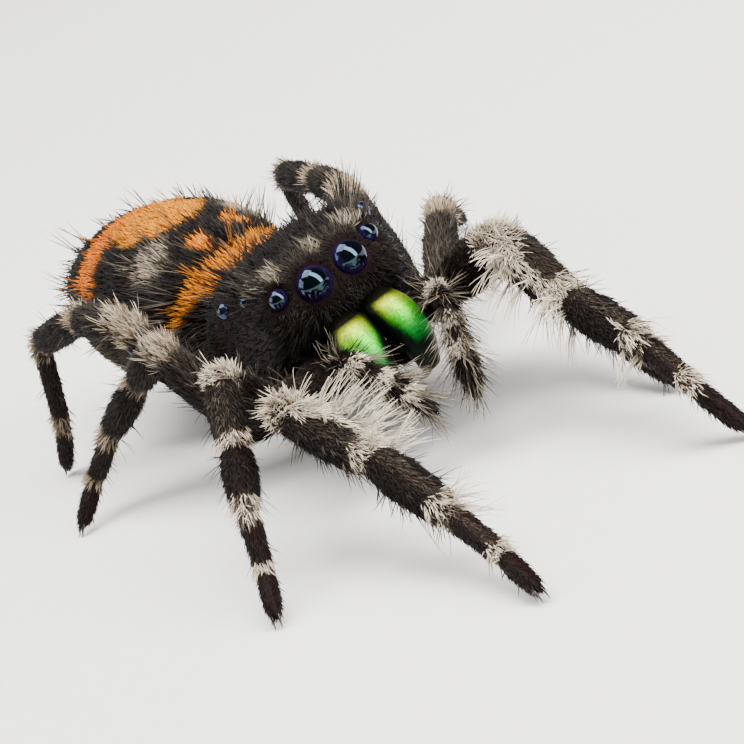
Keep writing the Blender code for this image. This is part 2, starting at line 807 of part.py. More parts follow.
def make_pedicel(materials):
    """The narrow waist between carapace and abdomen."""
    front = body_matrix() @ Vector((PEDICEL_PLACE[0] - 0.20, 0.0, PEDICEL_PLACE[2]))
    back = abdomen_matrix() @ Vector((ABDOMEN_CENTRE[0] + ABDOMEN_HALF[0] + 0.02, 0.0, 0.06))
    along = (back - front).normalized()
    across = along.cross(Vector((0.0, 0.0, 1.0))).normalized()
    points = [front, front.lerp(back, 0.5), back]
    radii = [PEDICEL_RADIUS, PEDICEL_RADIUS * 0.9, PEDICEL_RADIUS]
    waist = tube(points, radii, [across] * 3, 10, caps=(0.15, 0.15)).piece()
    return finish_node(waist, "pedicel", materials["dark_cuticle"])


def to_metres(nodes):
    """Scale every node to metres and set the origin under the middle of the footprint."""
    low = [min(vertex.co[axis] for node in nodes for vertex in node.data.vertices) for axis in range(3)]
    high = [max(vertex.co[axis] for node in nodes for vertex in node.data.vertices) for axis in range(3)]
    shift = Matrix.Translation((-0.5 * (low[0] + high[0]), -0.5 * (low[1] + high[1]), -low[2]))
    change = Matrix.Scale(MM, 4) @ shift
    for node in nodes:
        node.data.transform(change)
        node.data.update()


def main():
    """Build the spider."""
    clear_scene()
    materials = make_materials()
    nodes = [make_cephalothorax(materials)]
    nodes += make_eyes(materials)
    nodes += make_chelicerae(materials)
    nodes += make_palps(materials)
    nodes.append(make_pedicel(materials))
    nodes += make_abdomen(materials)
    for number in SEGMENT_LENGTHS:
        for side, sign in SIDES:
            nodes += make_leg(number, side, sign, materials)
    to_metres(nodes)


main()
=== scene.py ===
"""Looks of a life-size bold jumping spider that stands with its front legs stretched forward.

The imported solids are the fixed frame. One skin replaces all pieces of flesh, a coat of solid tufts
grows on it, and the eyes, jaws, fangs and claws are pieces of their own. Shapes are worked out in
millimetres in the spider's own frame (+X the way it faces, +Y its left, +Z up, the floor at z = 0
and the carapace centre over the origin) and then moved to the frame of the solids, in metres.
"""
from __future__ import annotations

import logging
import math
from dataclasses import dataclass, field
from enum import Enum
from typing import Any, Iterable, Sequence

import bpy
import numpy as np
from mathutils import Matrix, Vector

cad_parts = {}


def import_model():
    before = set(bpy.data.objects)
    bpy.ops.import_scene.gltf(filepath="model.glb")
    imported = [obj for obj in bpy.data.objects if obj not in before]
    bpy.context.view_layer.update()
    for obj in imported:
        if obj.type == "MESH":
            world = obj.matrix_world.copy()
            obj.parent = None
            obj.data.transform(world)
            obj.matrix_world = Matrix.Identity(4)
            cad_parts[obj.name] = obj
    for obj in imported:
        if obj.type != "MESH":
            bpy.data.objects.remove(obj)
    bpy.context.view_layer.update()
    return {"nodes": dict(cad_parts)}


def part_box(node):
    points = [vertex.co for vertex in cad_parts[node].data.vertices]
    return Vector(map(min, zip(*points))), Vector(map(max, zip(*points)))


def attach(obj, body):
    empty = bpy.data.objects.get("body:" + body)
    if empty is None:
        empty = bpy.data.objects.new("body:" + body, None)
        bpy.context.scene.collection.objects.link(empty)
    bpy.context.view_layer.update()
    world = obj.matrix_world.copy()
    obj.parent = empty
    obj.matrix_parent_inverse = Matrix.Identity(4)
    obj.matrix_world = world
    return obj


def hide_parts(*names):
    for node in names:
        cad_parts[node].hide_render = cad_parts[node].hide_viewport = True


LOG = logging.getLogger("spider")
MM = 0.001
SEED = 20

Array = np.ndarray
Pair = tuple[float, float]
Point = tuple[float, float, float]
Row = tuple[float, float, float, float]
Stops = tuple[tuple[float, str], ...]
Marks = dict[str, Array]
Piece, Material, Tree = bpy.types.Object, bpy.types.Material, bpy.types.NodeTree


@dataclass
class Frame:
    """A place and three axes (the columns of axes) in the spider's own frame."""

    origin: Array
    axes: Array

    def place(self, points: Array | Point) -> Array:
        """Points of this frame in the spider's frame."""
        return points @ self.axes.T + self.origin

    def turn(self, vectors: Array) -> Array:
        """Directions of this frame in the spider's frame."""
        return vectors @ self.axes.T

    def local(self, points: Array) -> Array:
        """Points of the spider's frame in this one."""
        return (points - self.origin) @ self.axes

    def local_turn(self, vectors: Array) -> Array:
        """Directions of the spider's frame in this one."""
        return vectors @ self.axes


def rotation(axis: str, degrees: float) -> Array:
    """Rotation about a main axis as a 3 by 3 array."""
    return np.array(Matrix.Rotation(math.radians(degrees), 3, axis))


def unit(vectors: Array) -> Array:
    """Vectors scaled to length 1."""
    length = np.linalg.norm(vectors, axis=-1, keepdims=True)
    return vectors / np.maximum(length, 1e-9)


def tangent(vectors: Array, normals: Array) -> Array:
    """Unit directions laid flat on the surface."""
    return unit(vectors - normals * np.sum(vectors * normals, 1)[:, None])


def direction(heading: float, lift: float) -> Array:
    """Unit vector with this heading to the left of forward and this lift, in degrees."""
    turn, slope = math.radians(heading), math.radians(lift)
    return np.array((math.cos(turn) * math.cos(slope), math.sin(turn) * math.cos(slope),
                     math.sin(slope)))


def rise(values: Array, start: float, span: float) -> Array:
    """0 up to the start, growing to 1 over the span beyond it."""
    return np.clip((values - start) / span, 0.0, 1.0)


def fall(values: Array, end: float, span: float) -> Array:
    """0 from the end on, and 1 where a value is a span or more below it."""
    return np.clip((end - values) / span, 0.0, 1.0)


def window(values: Array, middle: float, half: Any, soft: float) -> Array:
    """1 within half of the middle, falling to 0 over soft beyond that."""
    return np.clip((half + soft - np.abs(values - middle)) / soft, 0.0, 1.0)


def between(values: Array, low: float, high: float, soft: float) -> Array:
    """1 from low to high, falling to 0 over soft outside them."""
    return window(values, 0.5 * (low + high), 0.5 * (high - low), soft)


class Side(Enum):
    """Side of the spider, with the sign of its Y."""

    RIGHT = -1.0
    LEFT = 1.0

    @property
    def label(self) -> str:
        """Lower-case name, as the solids use it."""
        return self.name.lower()

    @property
    def mirror(self) -> Array:
        """Factors that take a point of the left side to this one."""
        return np.array((1.0, self.value, 1.0))

    def pick(self, pair: tuple[Any, Any]) -> Any:
        """What belongs to this side, of a pair given as right and left."""
        return pair[self is Side.LEFT]


class Segment(Enum):
    """Segments of a leg in order from the body."""

    COXA = 0
    FEMUR = 1
    PATELLA = 2
    TIBIA = 3
    METATARSUS = 4
    TARSUS = 5


@dataclass
class LegPose:
    """Headings and rises of a leg's segments in degrees, as in the solids.

    The metatarsus has no rise of its own: it is worked out so that the foot meets the floor.
    """

    headings: tuple[float, ...]
    femur_rise: float
    patella_rise: float
    tibia_rise: float
    tarsus_rise: float


@dataclass
class Skeleton:
    """Stance and sizes that the skin shares with the solids, in millimetres and degrees."""

    carapace_height: float = 2.5
    carapace_pitch: float = 17.5
    carapace_roll: float = 3.0
    pedicel: Point = (-2.45, 0.0, -0.25)
    abdomen_pitch: float = 24.0
    abdomen_yaw: float = 14.0
    foot_height: float = 0.24
    # femur, patella, tibia, metatarsus and tarsus of each pair of legs
    segment_lengths: dict[int, tuple[float, ...]] = field(default_factory=lambda: {
        1: (2.5, 1.95, 1.9, 1.4, 1.0),
        2: (2.1, 1.35, 1.4, 1.05, 0.85),
        3: (2.35, 1.3, 1.55, 1.2, 0.85),
        4: (3.2, 1.45, 1.95, 2.0, 1.05),
    })
    # both ends of each left hip, in the carapace's frame
    coxa_roots: dict[int, Point] = field(default_factory=lambda: {
        1: (1.05, 0.7, -0.95), 2: (0.35, 0.8, -1.0),
        3: (-0.5, 0.8, -1.0), 4: (-1.2, 0.65, -0.95),
    })
    trochanters: dict[int, Point] = field(default_factory=lambda: {
        1: (1.72, 1.68, -1.12), 2: (0.55, 1.88, -1.17),
        3: (-0.58, 2.22, -1.17), 4: (-1.64, 1.98, -1.12),
    })
    femur_radii: dict[int, float] = field(
        default_factory=lambda: {1: 0.46, 2: 0.4, 3: 0.37, 4: 0.4})
    poses: dict[tuple[int, Side], LegPose] = field(default_factory=lambda: {
        (1, Side.RIGHT): LegPose((-23, 15, 6, 2, -4), 17, -24, -24, -16),
        (1, Side.LEFT): LegPose((9, -1, 3, -5, 25), 24, -28, -19, -55),
        (2, Side.RIGHT): LegPose((-40, -29, -29, -38, -28), 47, -36, -27, -30),
        (2, Side.LEFT): LegPose((28, -2, -2, 0, 2), 22, -32, -32, -16),
        (3, Side.RIGHT): LegPose((-151, -158, -144, -138, -78), 60, -32, -34, -38),
        (3, Side.LEFT): LegPose((145, 160, 160, 155, 150), 16, -18, -20, -30),
        (4, Side.RIGHT): LegPose((-156, -165, -163, -150, -150), 52, 4, -14, -58),
        (4, Side.LEFT): LegPose((167, 178, 180, 166, 160), 35, 4, -2, -58),
    })

    def carapace(self) -> Frame:
        """Frame of the carapace, pitched up in front and rolled a little."""
        axes = rotation("Y", -self.carapace_pitch) @ rotation("X", self.carapace_roll)
        return Frame(np.array((0.0, 0.0, self.carapace_height)), axes)

    def abdomen(self) -> Frame:
        """Frame of the abdomen, hinged at the waist.

        Returns:
            The frame, with its origin at the end of the waist.
        """
        body = self.carapace()
        axes = body.axes @ rotation("Z", self.abdomen_yaw) @ rotation("Y", self.abdomen_pitch)
        return Frame(body.place(self.pedicel), axes)

    def leg_joints(self, number: int, side: Side) -> list[Array]:
        """Places from the coxa's root to the toe.

        Args:
            number: the leg, 1 in front to 4 behind.
            side: its side of the body.

        Returns:
            Coxa root, trochanter and the far end of each of the five segments.
        """
        pose = self.poses[(number, side)]
        body = self.carapace()
        root = body.place(self.coxa_roots[number] * side.mirror)
        place = body.place(self.trochanters[number] * side.mirror)
        lengths = self.segment_lengths[number]
        rises = [pose.femur_rise, pose.patella_rise, pose.tibia_rise]
        height = place[2] + sum(
            length * math.sin(math.radians(lift)) for length, lift in zip(lengths, rises))
        toe_drop = lengths[4] * math.sin(math.radians(pose.tarsus_rise))
        slope = (self.foot_height - toe_drop - height) / lengths[3]
        rises += [math.degrees(math.asin(slope)), pose.tarsus_rise]
        joints = [root, place]
        for length, heading, lift in zip(lengths, pose.headings, rises):
            place = place + length * direction(heading, lift)
            joints.append(place)
        return joints


SKELETON = Skeleton()
# Frames of the carapace and of the abdomen
BODY, REAR = SKELETON.carapace(), SKELETON.abdomen()


@dataclass
class Shell:
    """A closed surface as points and triangles."""

    points: Array
    triangles: Array


def join_shells(shells: Sequence[Shell]) -> Shell:
    """Put several shells in one, side by side.

    Args:
        shells: the shells, in the order that they keep.

    Returns:
        One shell with all their points and triangles.
    """
    offsets = np.cumsum([0] + [len(shell.points) for shell in shells[:-1]])
    triangles = [shell.triangles + offset for shell, offset in zip(shells, offsets)]
    return Shell(np.vstack([shell.points for shell in shells]), np.vstack(triangles))


def read_rows(items: Any, name: str, kind: type = float) -> Array:
    """Read a property of three numbers from a mesh.

    Args:
        items: vertices or triangles of the mesh.
        name: the property.
        kind: type of the numbers.

    Returns:
        One row of three numbers for each item.
    """
    values = np.zeros(len(items) * 3, kind)
    items.foreach_get(name, values)
    return values.reshape(-1, 3)


def mesh_from_shell(name: str, shell: Shell) -> Piece:
    """Make a smooth mesh object from a shell.

    Args:
        name: name of the piece.
        shell: its points and triangles.

    Returns:
        The object, linked to the scene.
    """
    mesh = bpy.data.meshes.new(name)
    mesh.from_pydata(shell.points, [], shell.triangles)
    mesh.shade_smooth()
    piece = bpy.data.objects.new(name, mesh)
    bpy.context.scene.collection.objects.link(piece)
    return piece


def write_floats(piece: Piece, values: Marks) -> None:
    """Store floats on the points of a mesh for its material.

    Args:
        piece: the mesh object.
        values: one array for each name that the material reads.
    """
    for name, value in values.items():
        layer = piece.data.attributes.new(name, "FLOAT", "POINT")
        layer.data.foreach_set("value", np.ascontiguousarray(value, np.float32))


def ring_tube(centres: Array, across: Array, upward: Array, widths: Array, heights: Array,
              sides: int = 20, power: float = 2.0) -> Shell:
    """Skin a row of rounded rings into a closed tube.

    Args:
        centres: middle of each ring.
        across: sideways unit vector of all rings, or one for each.
        upward: upward unit vector, likewise.
        widths: half width of each ring.
        heights: half height of each ring.
        sides: points on a ring.
        power: 2 for an ellipse, more for a boxier ring.

    Returns:
        The closed shell, ended by a point in the middle of the first and last ring.
    """
    across, upward = (np.broadcast_to(axis, centres.shape) for axis in (across, upward))
    angle = 2.0 * math.pi * (np.arange(sides) + 0.5) / sides
    wide, high = (np.copysign(np.abs(wave) ** (2.0 / power), wave)
                  for wave in (np.cos(angle), np.sin(angle)))
    rings = (centres[:, None] + across[:, None] * (wide[None, :, None] * widths[:, None, None])
             + upward[:, None] * (high[None, :, None] * heights[:, None, None]))
    rows = len(centres)
    first, last = rows * sides, rows * sides + 1
    here = np.arange(sides)
    after = (here + 1) % sides
    triangles = []
    for low in range(0, (rows - 1) * sides, sides):
        top = low + sides
        triangles.append(np.stack([low + here, low + after, top + after], 1))
        triangles.append(np.stack([low + here, top + after, top + here], 1))
    tail = (rows - 1) * sides
    triangles.append(np.stack([after, here, np.full(sides, first)], 1))
    triangles.append(np.stack([tail + here, tail + after, np.full(sides, last)], 1))
    points = np.vstack([rings.reshape(-1, 3), centres[:1], centres[-1:]])
    return Shell(points, np.vstack(triangles))


def round_tube(points: Array, radii: Array, left: Array, sides: int = 16,
               flatness: float = 1.0) -> Shell:
    """Round limb along points, with its ends rounded off.

    Args:
        points: middle line from root to end.
        radii: radius at each of them.
        left: rough sideways direction, one or one for each point.
        sides: points on a ring.
        flatness: height of a ring over its width.

    Returns:
        The closed shell.
    """
    along = unit(np.gradient(points, axis=0))
    upward = unit(np.cross(along, np.broadcast_to(left, points.shape)))
    across = unit(np.cross(upward, along))
    # a cap ring's radius and how far out it is, as shares of the radius at the end
    caps = ((0.94, 0.34), (0.76, 0.65), (0.42, 0.91))
    head = [(points[0] - along[0] * radii[0] * far, radii[0] * near)
            for near, far in reversed(caps)]
    tail = [(points[-1] + along[-1] * radii[-1] * far, radii[-1] * near) for near, far in caps]
    centres = np.array([*(place for place, _ in head), *points, *(place for place, _ in tail)])
    sizes = np.array([*(size for _, size in head), *radii, *(size for _, size in tail)])
    pad = ((len(caps), len(caps)), (0, 0))
    across, upward = (np.pad(axis, pad, mode="edge") for axis in (across, upward))
    return ring_tube(centres, across, upward, sizes, sizes * flatness, sides)


def ball(centre: Array, radii: Sequence[float], axes: Array) -> Shell:
    """Ellipsoid with its own axes.

    Args:
        centre: its middle.
        radii: half sizes along its axes.
        axes: the axes, as columns.

    Returns:
        The closed shell.
    """
    tilt = np.linspace(0.0, math.pi, 14)[1:-1]
    centres = centre - axes[:, 0] * (np.cos(tilt) * radii[0])[:, None]
    return ring_tube(centres, axes[:, 1], axes[:, 2], np.sin(tilt) * radii[1],
                     np.sin(tilt) * radii[2])


def axes_along(axis: Array) -> Array:
    """Three axes as columns, the first along a given direction."""
    side = unit(np.cross(np.array((0.0, 0.0, 1.0)), axis))
    return np.stack([axis, side, np.cross(axis, side)], 1)


class RowShift:
    """Move from the spider's frame in millimetres to the frame of the solids in metres."""

    def __init__(self) -> None:
        """Find the shift from the place of one eye in both frames."""
        low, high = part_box("eye_main_right")
        eye = np.array((low + high) * 0.5) / MM
        self.shift = eye - EYES[0].centre

    def points(self, points: Array | Point) -> Array:
        """Points in metres in the frame of the solids."""
        return (points + self.shift) * MM

    def dress(self, piece: Piece, material: Material, slot: str,
              replaces: Iterable[str] = ()) -> None:
        """Args:
            piece: the piece, with its mesh in millimetres.
            material: its finish.
            slot: material slot of the record; not used.
            replaces: nodes of the solids that it stands for.
        """
        piece.data.materials.append(material)
        piece.data.transform(Matrix.Scale(MM, 4) @ Matrix.Translation(Vector(self.shift)))
        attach(piece, "root")
        if replaces:
            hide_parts(*replaces)
        box = np.array([corner[:] for corner in piece.bound_box]) / MM
        LOG.info("%s: %d triangles, %s to %s mm", piece.name, len(piece.data.polygons),
                 np.round(box.min(0), 2), np.round(box.max(0), 2))


def linear(colour: str) -> Row:
    """Turn an sRGB hex colour to linear values with full alpha.

    Args:
        colour: the colour as #RRGGBB.

    Returns:
        Linear red, green, blue and alpha.
    """
    parts = [int(colour[index:index + 2], 16) / 255.0 for index in (1, 3, 5)]
    values = [part / 12.92 if part <= 0.04045 else ((part + 0.055) / 1.055) ** 2.4
              for part in parts]
    return (*values, 1.0)


def pattern(size_mm: float) -> float:
    """Texture scale for a pattern whose repeats are this many millimetres apart."""
    return 1.0 / (size_mm * MM)


# Settings of a colour mix, for its two uses
BLEND = {"data_type": "RGBA"}
MULTIPLY = {"data_type": "RGBA", "blend_type": "MULTIPLY"}
# Typical refractive index of chitin
CHITIN_IOR = 1.56


def add_node(tree: Tree, kind: str, inputs: dict[str, Any] | None = None,
             out: str = "", stops: Stops = (), **settings: Any) -> bpy.types.NodeSocket | None:
    """Add a node, set its properties and fill or link its inputs.

    Args:
        tree: node tree of the material.
        kind: Blender's name of the node type, after ShaderNode.
        inputs: names of inputs in use, each with a value or with the socket to link.
        out: name of the output that is wanted, if not the first in use.
        stops: places from 0 to 1 with their hex colours, for a colour ramp.
        settings: properties of the node.

    Returns:
        The output socket, if the node has one.
    """
    made = tree.nodes.new(f"ShaderNode{kind}")
    for name, value in settings.items():
        setattr(made, name, value)
    for name, value in (inputs or {}).items():
        entry = next(one for one in made.inputs if one.enabled and one.name == name)
        if isinstance(value, bpy.types.NodeSocket):
            tree.links.new(value, entry)
        else:
            entry.default_value = value
    for index, (place, colour) in enumerate(stops):
        elements = made.color_ramp.elements
        element = elements[index] if index < 2 else elements.new(place)
        element.position, element.color = place, linear(colour)
    return next((one for one in made.outputs if one.enabled and out in ("", one.name)), None)


class Finish:
    """What all finishes share: a node material named for its real substance."""

    name: str

    def material(self) -> Material:
        """Build the material around one Principled shader.

        Returns:
            The material.
        """
        material = bpy.data.materials.new(self.name)
        material.use_nodes = True
        tree = material.node_tree
        tree.nodes.clear()
        shader = add_node(tree, "BsdfPrincipled", self.looks(tree))
        add_node(tree, "OutputMaterial", {"Surface": shader})
        return material

    def looks(self, tree: Tree) -> dict[str, Any]:
        """Add the nodes of the finish; gives the values and sockets that its shader takes."""
        raise NotImplementedError


@dataclass(frozen=True)
class SetaFinish(Finish):
    """Hairs and scales of chitin: dark, pale or orange by the mark they grow in, softly glossy."""

    name: str = "chitin_seta"
    plain: Stops = ((0.0, "#030202"), (0.3, "#201C18"), (0.6, "#5C5346"), (0.85, "#C4B59C"),
                    (1.0, "#F4EAD6"))
    warm: Stops = ((0.0, "#C67C0C"), (0.5, "#DC7400"), (0.7, "#E88600"), (1.0, "#DA8A00"))
    # Each tuft is a little lighter or darker than the next, so the coat doesn't look moulded
    shade: Pair = (0.62, 1.25)
    # Painted shade at the root of a hair, which sits in shadow, and painted light at its tip, which
    # thins out, so the tip is lighter
    along: Pair = (0.55, 1.15)
    roughness: float = 0.6
    specular: float = 0.12

    def looks(self, tree: Tree) -> dict[str, Any]:
        """Mix the plain and the orange hairs, vary their tone by tuft and paint shade along each
        hair.

        Args:
            tree: nodes of the material.

        Returns:
            Inputs of the shader.
        """
        marks = {name: add_node(tree, "Attribute", out="Fac", attribute_name=name)
                 for name in ("pale", "orange", "hue", "shade", "along")}
        plain = add_node(tree, "ValToRGB", {"Fac": marks["pale"]}, stops=self.plain)
        warm = add_node(tree, "ValToRGB", {"Fac": marks["hue"]}, stops=self.warm)
        colour = add_node(tree, "Mix", {"Factor": marks["orange"], "A": plain, "B": warm}, **BLEND)
        for mark, (low, high) in (("shade", self.shade), ("along", self.along)):
            tint = add_node(tree, "MapRange", {"Value": marks[mark], "To Min": low, "To Max": high})
            colour = add_node(tree, "Mix", {"Factor": 1.0, "A": colour, "B": tint}, **MULTIPLY)
        return {"Base Color": colour, "Roughness": self.roughness, "IOR": CHITIN_IOR,
                "Specular IOR Level": self.specular}


@dataclass(frozen=True)
class CuticleFinish(Finish):
    """Hardened cuticle: dark brown skin with fine wrinkles, glossier and redder where it is bare.

    It takes the orange and pale marks of the coat as a faint ground colour, so that the skin
    doesn't show as dark gaps between the tufts.
    """

    name: str = "dark_cuticle"
    dark: str = "#070403"
    warm: str = "#1A0805"
    orange: str = "#7A3C08"
    pale: str = "#2E251C"
    polished_tone: str = "#160603"
    pale_strength: float = 0.3
    matt: float = 0.7
    polished: float = 0.42
    specular: float = 0.05
    blotch_mm: float = 0.9
    wrinkle_mm: float = 0.045
    wrinkle_depth_mm: float = 0.004

    def looks(self, tree: Tree) -> dict[str, Any]:
        """Lay the ground colours over each other and wrinkle the surface.

        Args:
            tree: nodes of the material.

        Returns:
            Inputs of the shader.
        """
        place = add_node(tree, "TexCoord", out="Object")
        blotches = add_node(tree, "TexNoise", {
            "Vector": place, "Scale": pattern(self.blotch_mm), "Detail": 3.0})
        marks = {name: add_node(tree, "Attribute", out="Fac", attribute_name=name)
                 for name in ("orange", "pale", "bare")}
        faint = add_node(tree, "MapRange", {"Value": marks["pale"], "To Max": self.pale_strength})
        ground = linear(self.dark)
        for factor, tone in ((blotches, self.warm), (marks["orange"], self.orange),
                             (faint, self.pale), (marks["bare"], self.polished_tone)):
            ground = add_node(tree, "Mix", {"Factor": factor, "A": ground, "B": linear(tone)},
                              **BLEND)
        cells = add_node(tree, "TexVoronoi", {"Vector": place, "Scale": pattern(self.wrinkle_mm)},
                         feature="DISTANCE_TO_EDGE")
        bump = add_node(tree, "Bump", {"Strength": 0.35, "Distance": self.wrinkle_depth_mm * MM,
                                       "Height": cells})
        gloss = add_node(tree, "MapRange", {
            "Value": marks["bare"], "To Min": self.matt, "To Max": self.polished})
        return {"Base Color": ground, "Normal": bump, "Roughness": gloss, "IOR": CHITIN_IOR,
                "Specular IOR Level": self.specular}


@dataclass(frozen=True)
class LensFinish(Finish):
    """Cornea of an eye: clear polished lens over a black retina; its violet rim is painted sheen.

    Its thin layers tint what it mirrors, mint in the middle and violet at the edge.
    """

    name: str = "eye_cornea"
    centre: str = "#020203"
    # Violet of the rim: painted sheen, the tint that the edge of the lens mirrors
    rim: str = "#160B2C"
    back: str = "#0A0A14"
    roughness: float = 0.03
    ior: float = 1.34
    film_nm: float = 250.0
    film_ior: float = 1.43

    def looks(self, tree: Tree) -> dict[str, Any]:
        """Colour the lens from its middle to its rim.

        Args:
            tree: nodes of the material.

        Returns:
            Inputs of the shader.
        """
        stops = ((0.0, self.centre), (0.45, self.centre), (0.78, self.rim), (0.95, self.rim),
                 (1.0, self.back))
        edge = add_node(tree, "Attribute", out="Fac", attribute_name="rim")
        colour = add_node(tree, "ValToRGB", {"Fac": edge}, stops=stops)
        return {"Base Color": colour, "Roughness": self.roughness, "IOR": self.ior,
                "Thin Film Thickness": self.film_nm, "Thin Film IOR": self.film_ior}


@dataclass(frozen=True)
class GreenScaleFinish(Finish):
    """Iridescent chitin of the jaws: layered cuticle, metal-green with yellow above, with painted
    shade on its sides and where it meets the face.

    The layers mirror light like metal, with a fine grain that breaks the shine up.
    """

    name: str = "iridescent_chitin"
    # The first stop is painted shade at the top of the jaw, under the face; the last one darkens its
    # lower end
    down: Stops = ((0.03, "#17150A"), (0.12, "#A4B800"), (0.30, "#4CC400"), (0.50, "#0FAA3A"),
                   (0.70, "#06120A"))
    # Colour of the painted shade on the sides of the jaw
    side: str = "#08160D"
    glint: str = "#C8E060"
    metallic: float = 0.88
    roughness: float = 0.5
    grain_mm: float = 0.05
    grain_depth_mm: float = 0.012
    blotch_mm: float = 0.22

    def looks(self, tree: Tree) -> dict[str, Any]:
        """Colour the jaw from top to bottom, paint shade on its sides, then grain and blotch it.

        Args:
            tree: nodes of the material.

        Returns:
            Inputs of the shader.
        """
        marks = {name: add_node(tree, "Attribute", out="Fac", attribute_name=name)
                 for name in ("down", "flank_shade")}
        colour = add_node(tree, "ValToRGB", {"Fac": marks["down"]}, stops=self.down)
        colour = add_node(tree, "Mix", {
            "Factor": marks["flank_shade"], "A": colour, "B": linear(self.side)}, **BLEND)
        place = add_node(tree, "TexCoord", out="Object")
        grain = add_node(tree, "TexNoise", {
            "Vector": place, "Scale": pattern(self.grain_mm), "Detail": 4.0})
        light = add_node(tree, "MapRange", {"Value": grain, "From Min": 0.3, "From Max": 0.7,
                                            "To Min": 0.55, "To Max": 1.15})
        colour = add_node(tree, "Mix", {"Factor": 1.0, "A": colour, "B": light}, **MULTIPLY)
        # Larger blotches where the yellow and the green layers change places
        blotch = add_node(tree, "TexNoise", {
            "Vector": place, "Scale": pattern(self.blotch_mm), "Detail": 2.0})
        spread = add_node(tree, "MapRange", {"Value": blotch, "From Min": 0.45, "From Max": 0.7,
                                             "To Max": 0.4})
        lively = add_node(tree, "Mix", {"Factor": 1.0, "A": colour, "B": linear(self.glint)},
                          **MULTIPLY)
        colour = add_node(tree, "Mix", {"Factor": spread, "A": colour, "B": lively}, **BLEND)
        bump = add_node(tree, "Bump", {
            "Strength": 0.6, "Distance": self.grain_depth_mm * MM, "Height": grain})
        return {"Base Color": colour, "Normal": bump, "Metallic": self.metallic,
                "Roughness": self.roughness}


@dataclass(frozen=True)
class ClawFinish(Finish):
    """Tanned chitin of fangs and claws: dark red-brown and polished like horn."""

    name: str = "tanned_chitin"
    colour: str = "#2B0E08"
    tip: str = "#0A0505"
    roughness: float = 0.18
    streak_mm: float = 0.25

    def looks(self, tree: Tree) -> dict[str, Any]:
        """Streak the horn slowly from red-brown to black.

        Args:
            tree: nodes of the material.

        Returns:
            Inputs of the shader.
        """
        place = add_node(tree, "TexCoord", out="Object")
        streak = add_node(tree, "TexNoise", {"Vector": place, "Scale": pattern(self.streak_mm)})
        colour = add_node(tree, "Mix", {
            "Factor": streak, "A": linear(self.colour), "B": linear(self.tip)}, **BLEND)
        return {"Base Color": colour, "Roughness": self.roughness, "IOR": CHITIN_IOR}


@dataclass(frozen=True)
class CardFinish(Finish):
    """Matt pale card under the model, with a fine tooth."""

    name: str = "matt_card"
    colour: str = "#E6E4DF"
    roughness: float = 0.75
    tooth_mm: float = 0.4
    tooth_depth_mm: float = 0.02

    def looks(self, tree: Tree) -> dict[str, Any]:
        """Vary and roughen the card by its tooth.

        Args:
            tree: nodes of the material.

        Returns:
            Inputs of the shader.
        """
        place = add_node(tree, "TexCoord", out="Object")
        tooth = add_node(tree, "TexNoise", {
            "Vector": place, "Scale": pattern(self.tooth_mm), "Detail": 5.0})
        light = add_node(tree, "MapRange", {"Value": tooth, "To Min": 0.97, "To Max": 1.03})
        colour = add_node(tree, "Mix", {
            "Factor": 1.0, "A": linear(self.colour), "B": light}, **MULTIPLY)
        bump = add_node(tree, "Bump", {
            "Strength": 0.25, "Distance": self.tooth_depth_mm * MM, "Height": tooth})
        return {"Base Color": colour, "Normal": bump, "Roughness": self.roughness}


@dataclass
class Places:
    """Points of the skin, with what a coat needs to know about them.

    share runs along the part and turn round it in degrees, from its left side over the top; lie is
    the way that hair points, and local the place in the part's frame.
    """

    points: Array
    share: Array
    turn: Array
    lie: Array
    local: Array
    segment: Array | None = None

    def up(self) -> Array:
        """1 on top, 0 on the sides and -1 below."""
        return np.sin(np.radians(self.turn))

    def on(self, *segments: Segment) -> Array:
        """1 on these segments of a leg, 0 off them."""
        return np.isin(self.segment, [segment.value for segment in segments]).astype(float)

    def turn_from(self, middle: float) -> Array:
        """Degrees between each turn and this one."""
        away = np.abs(self.turn - middle)
        return np.minimum(away, 360.0 - away)


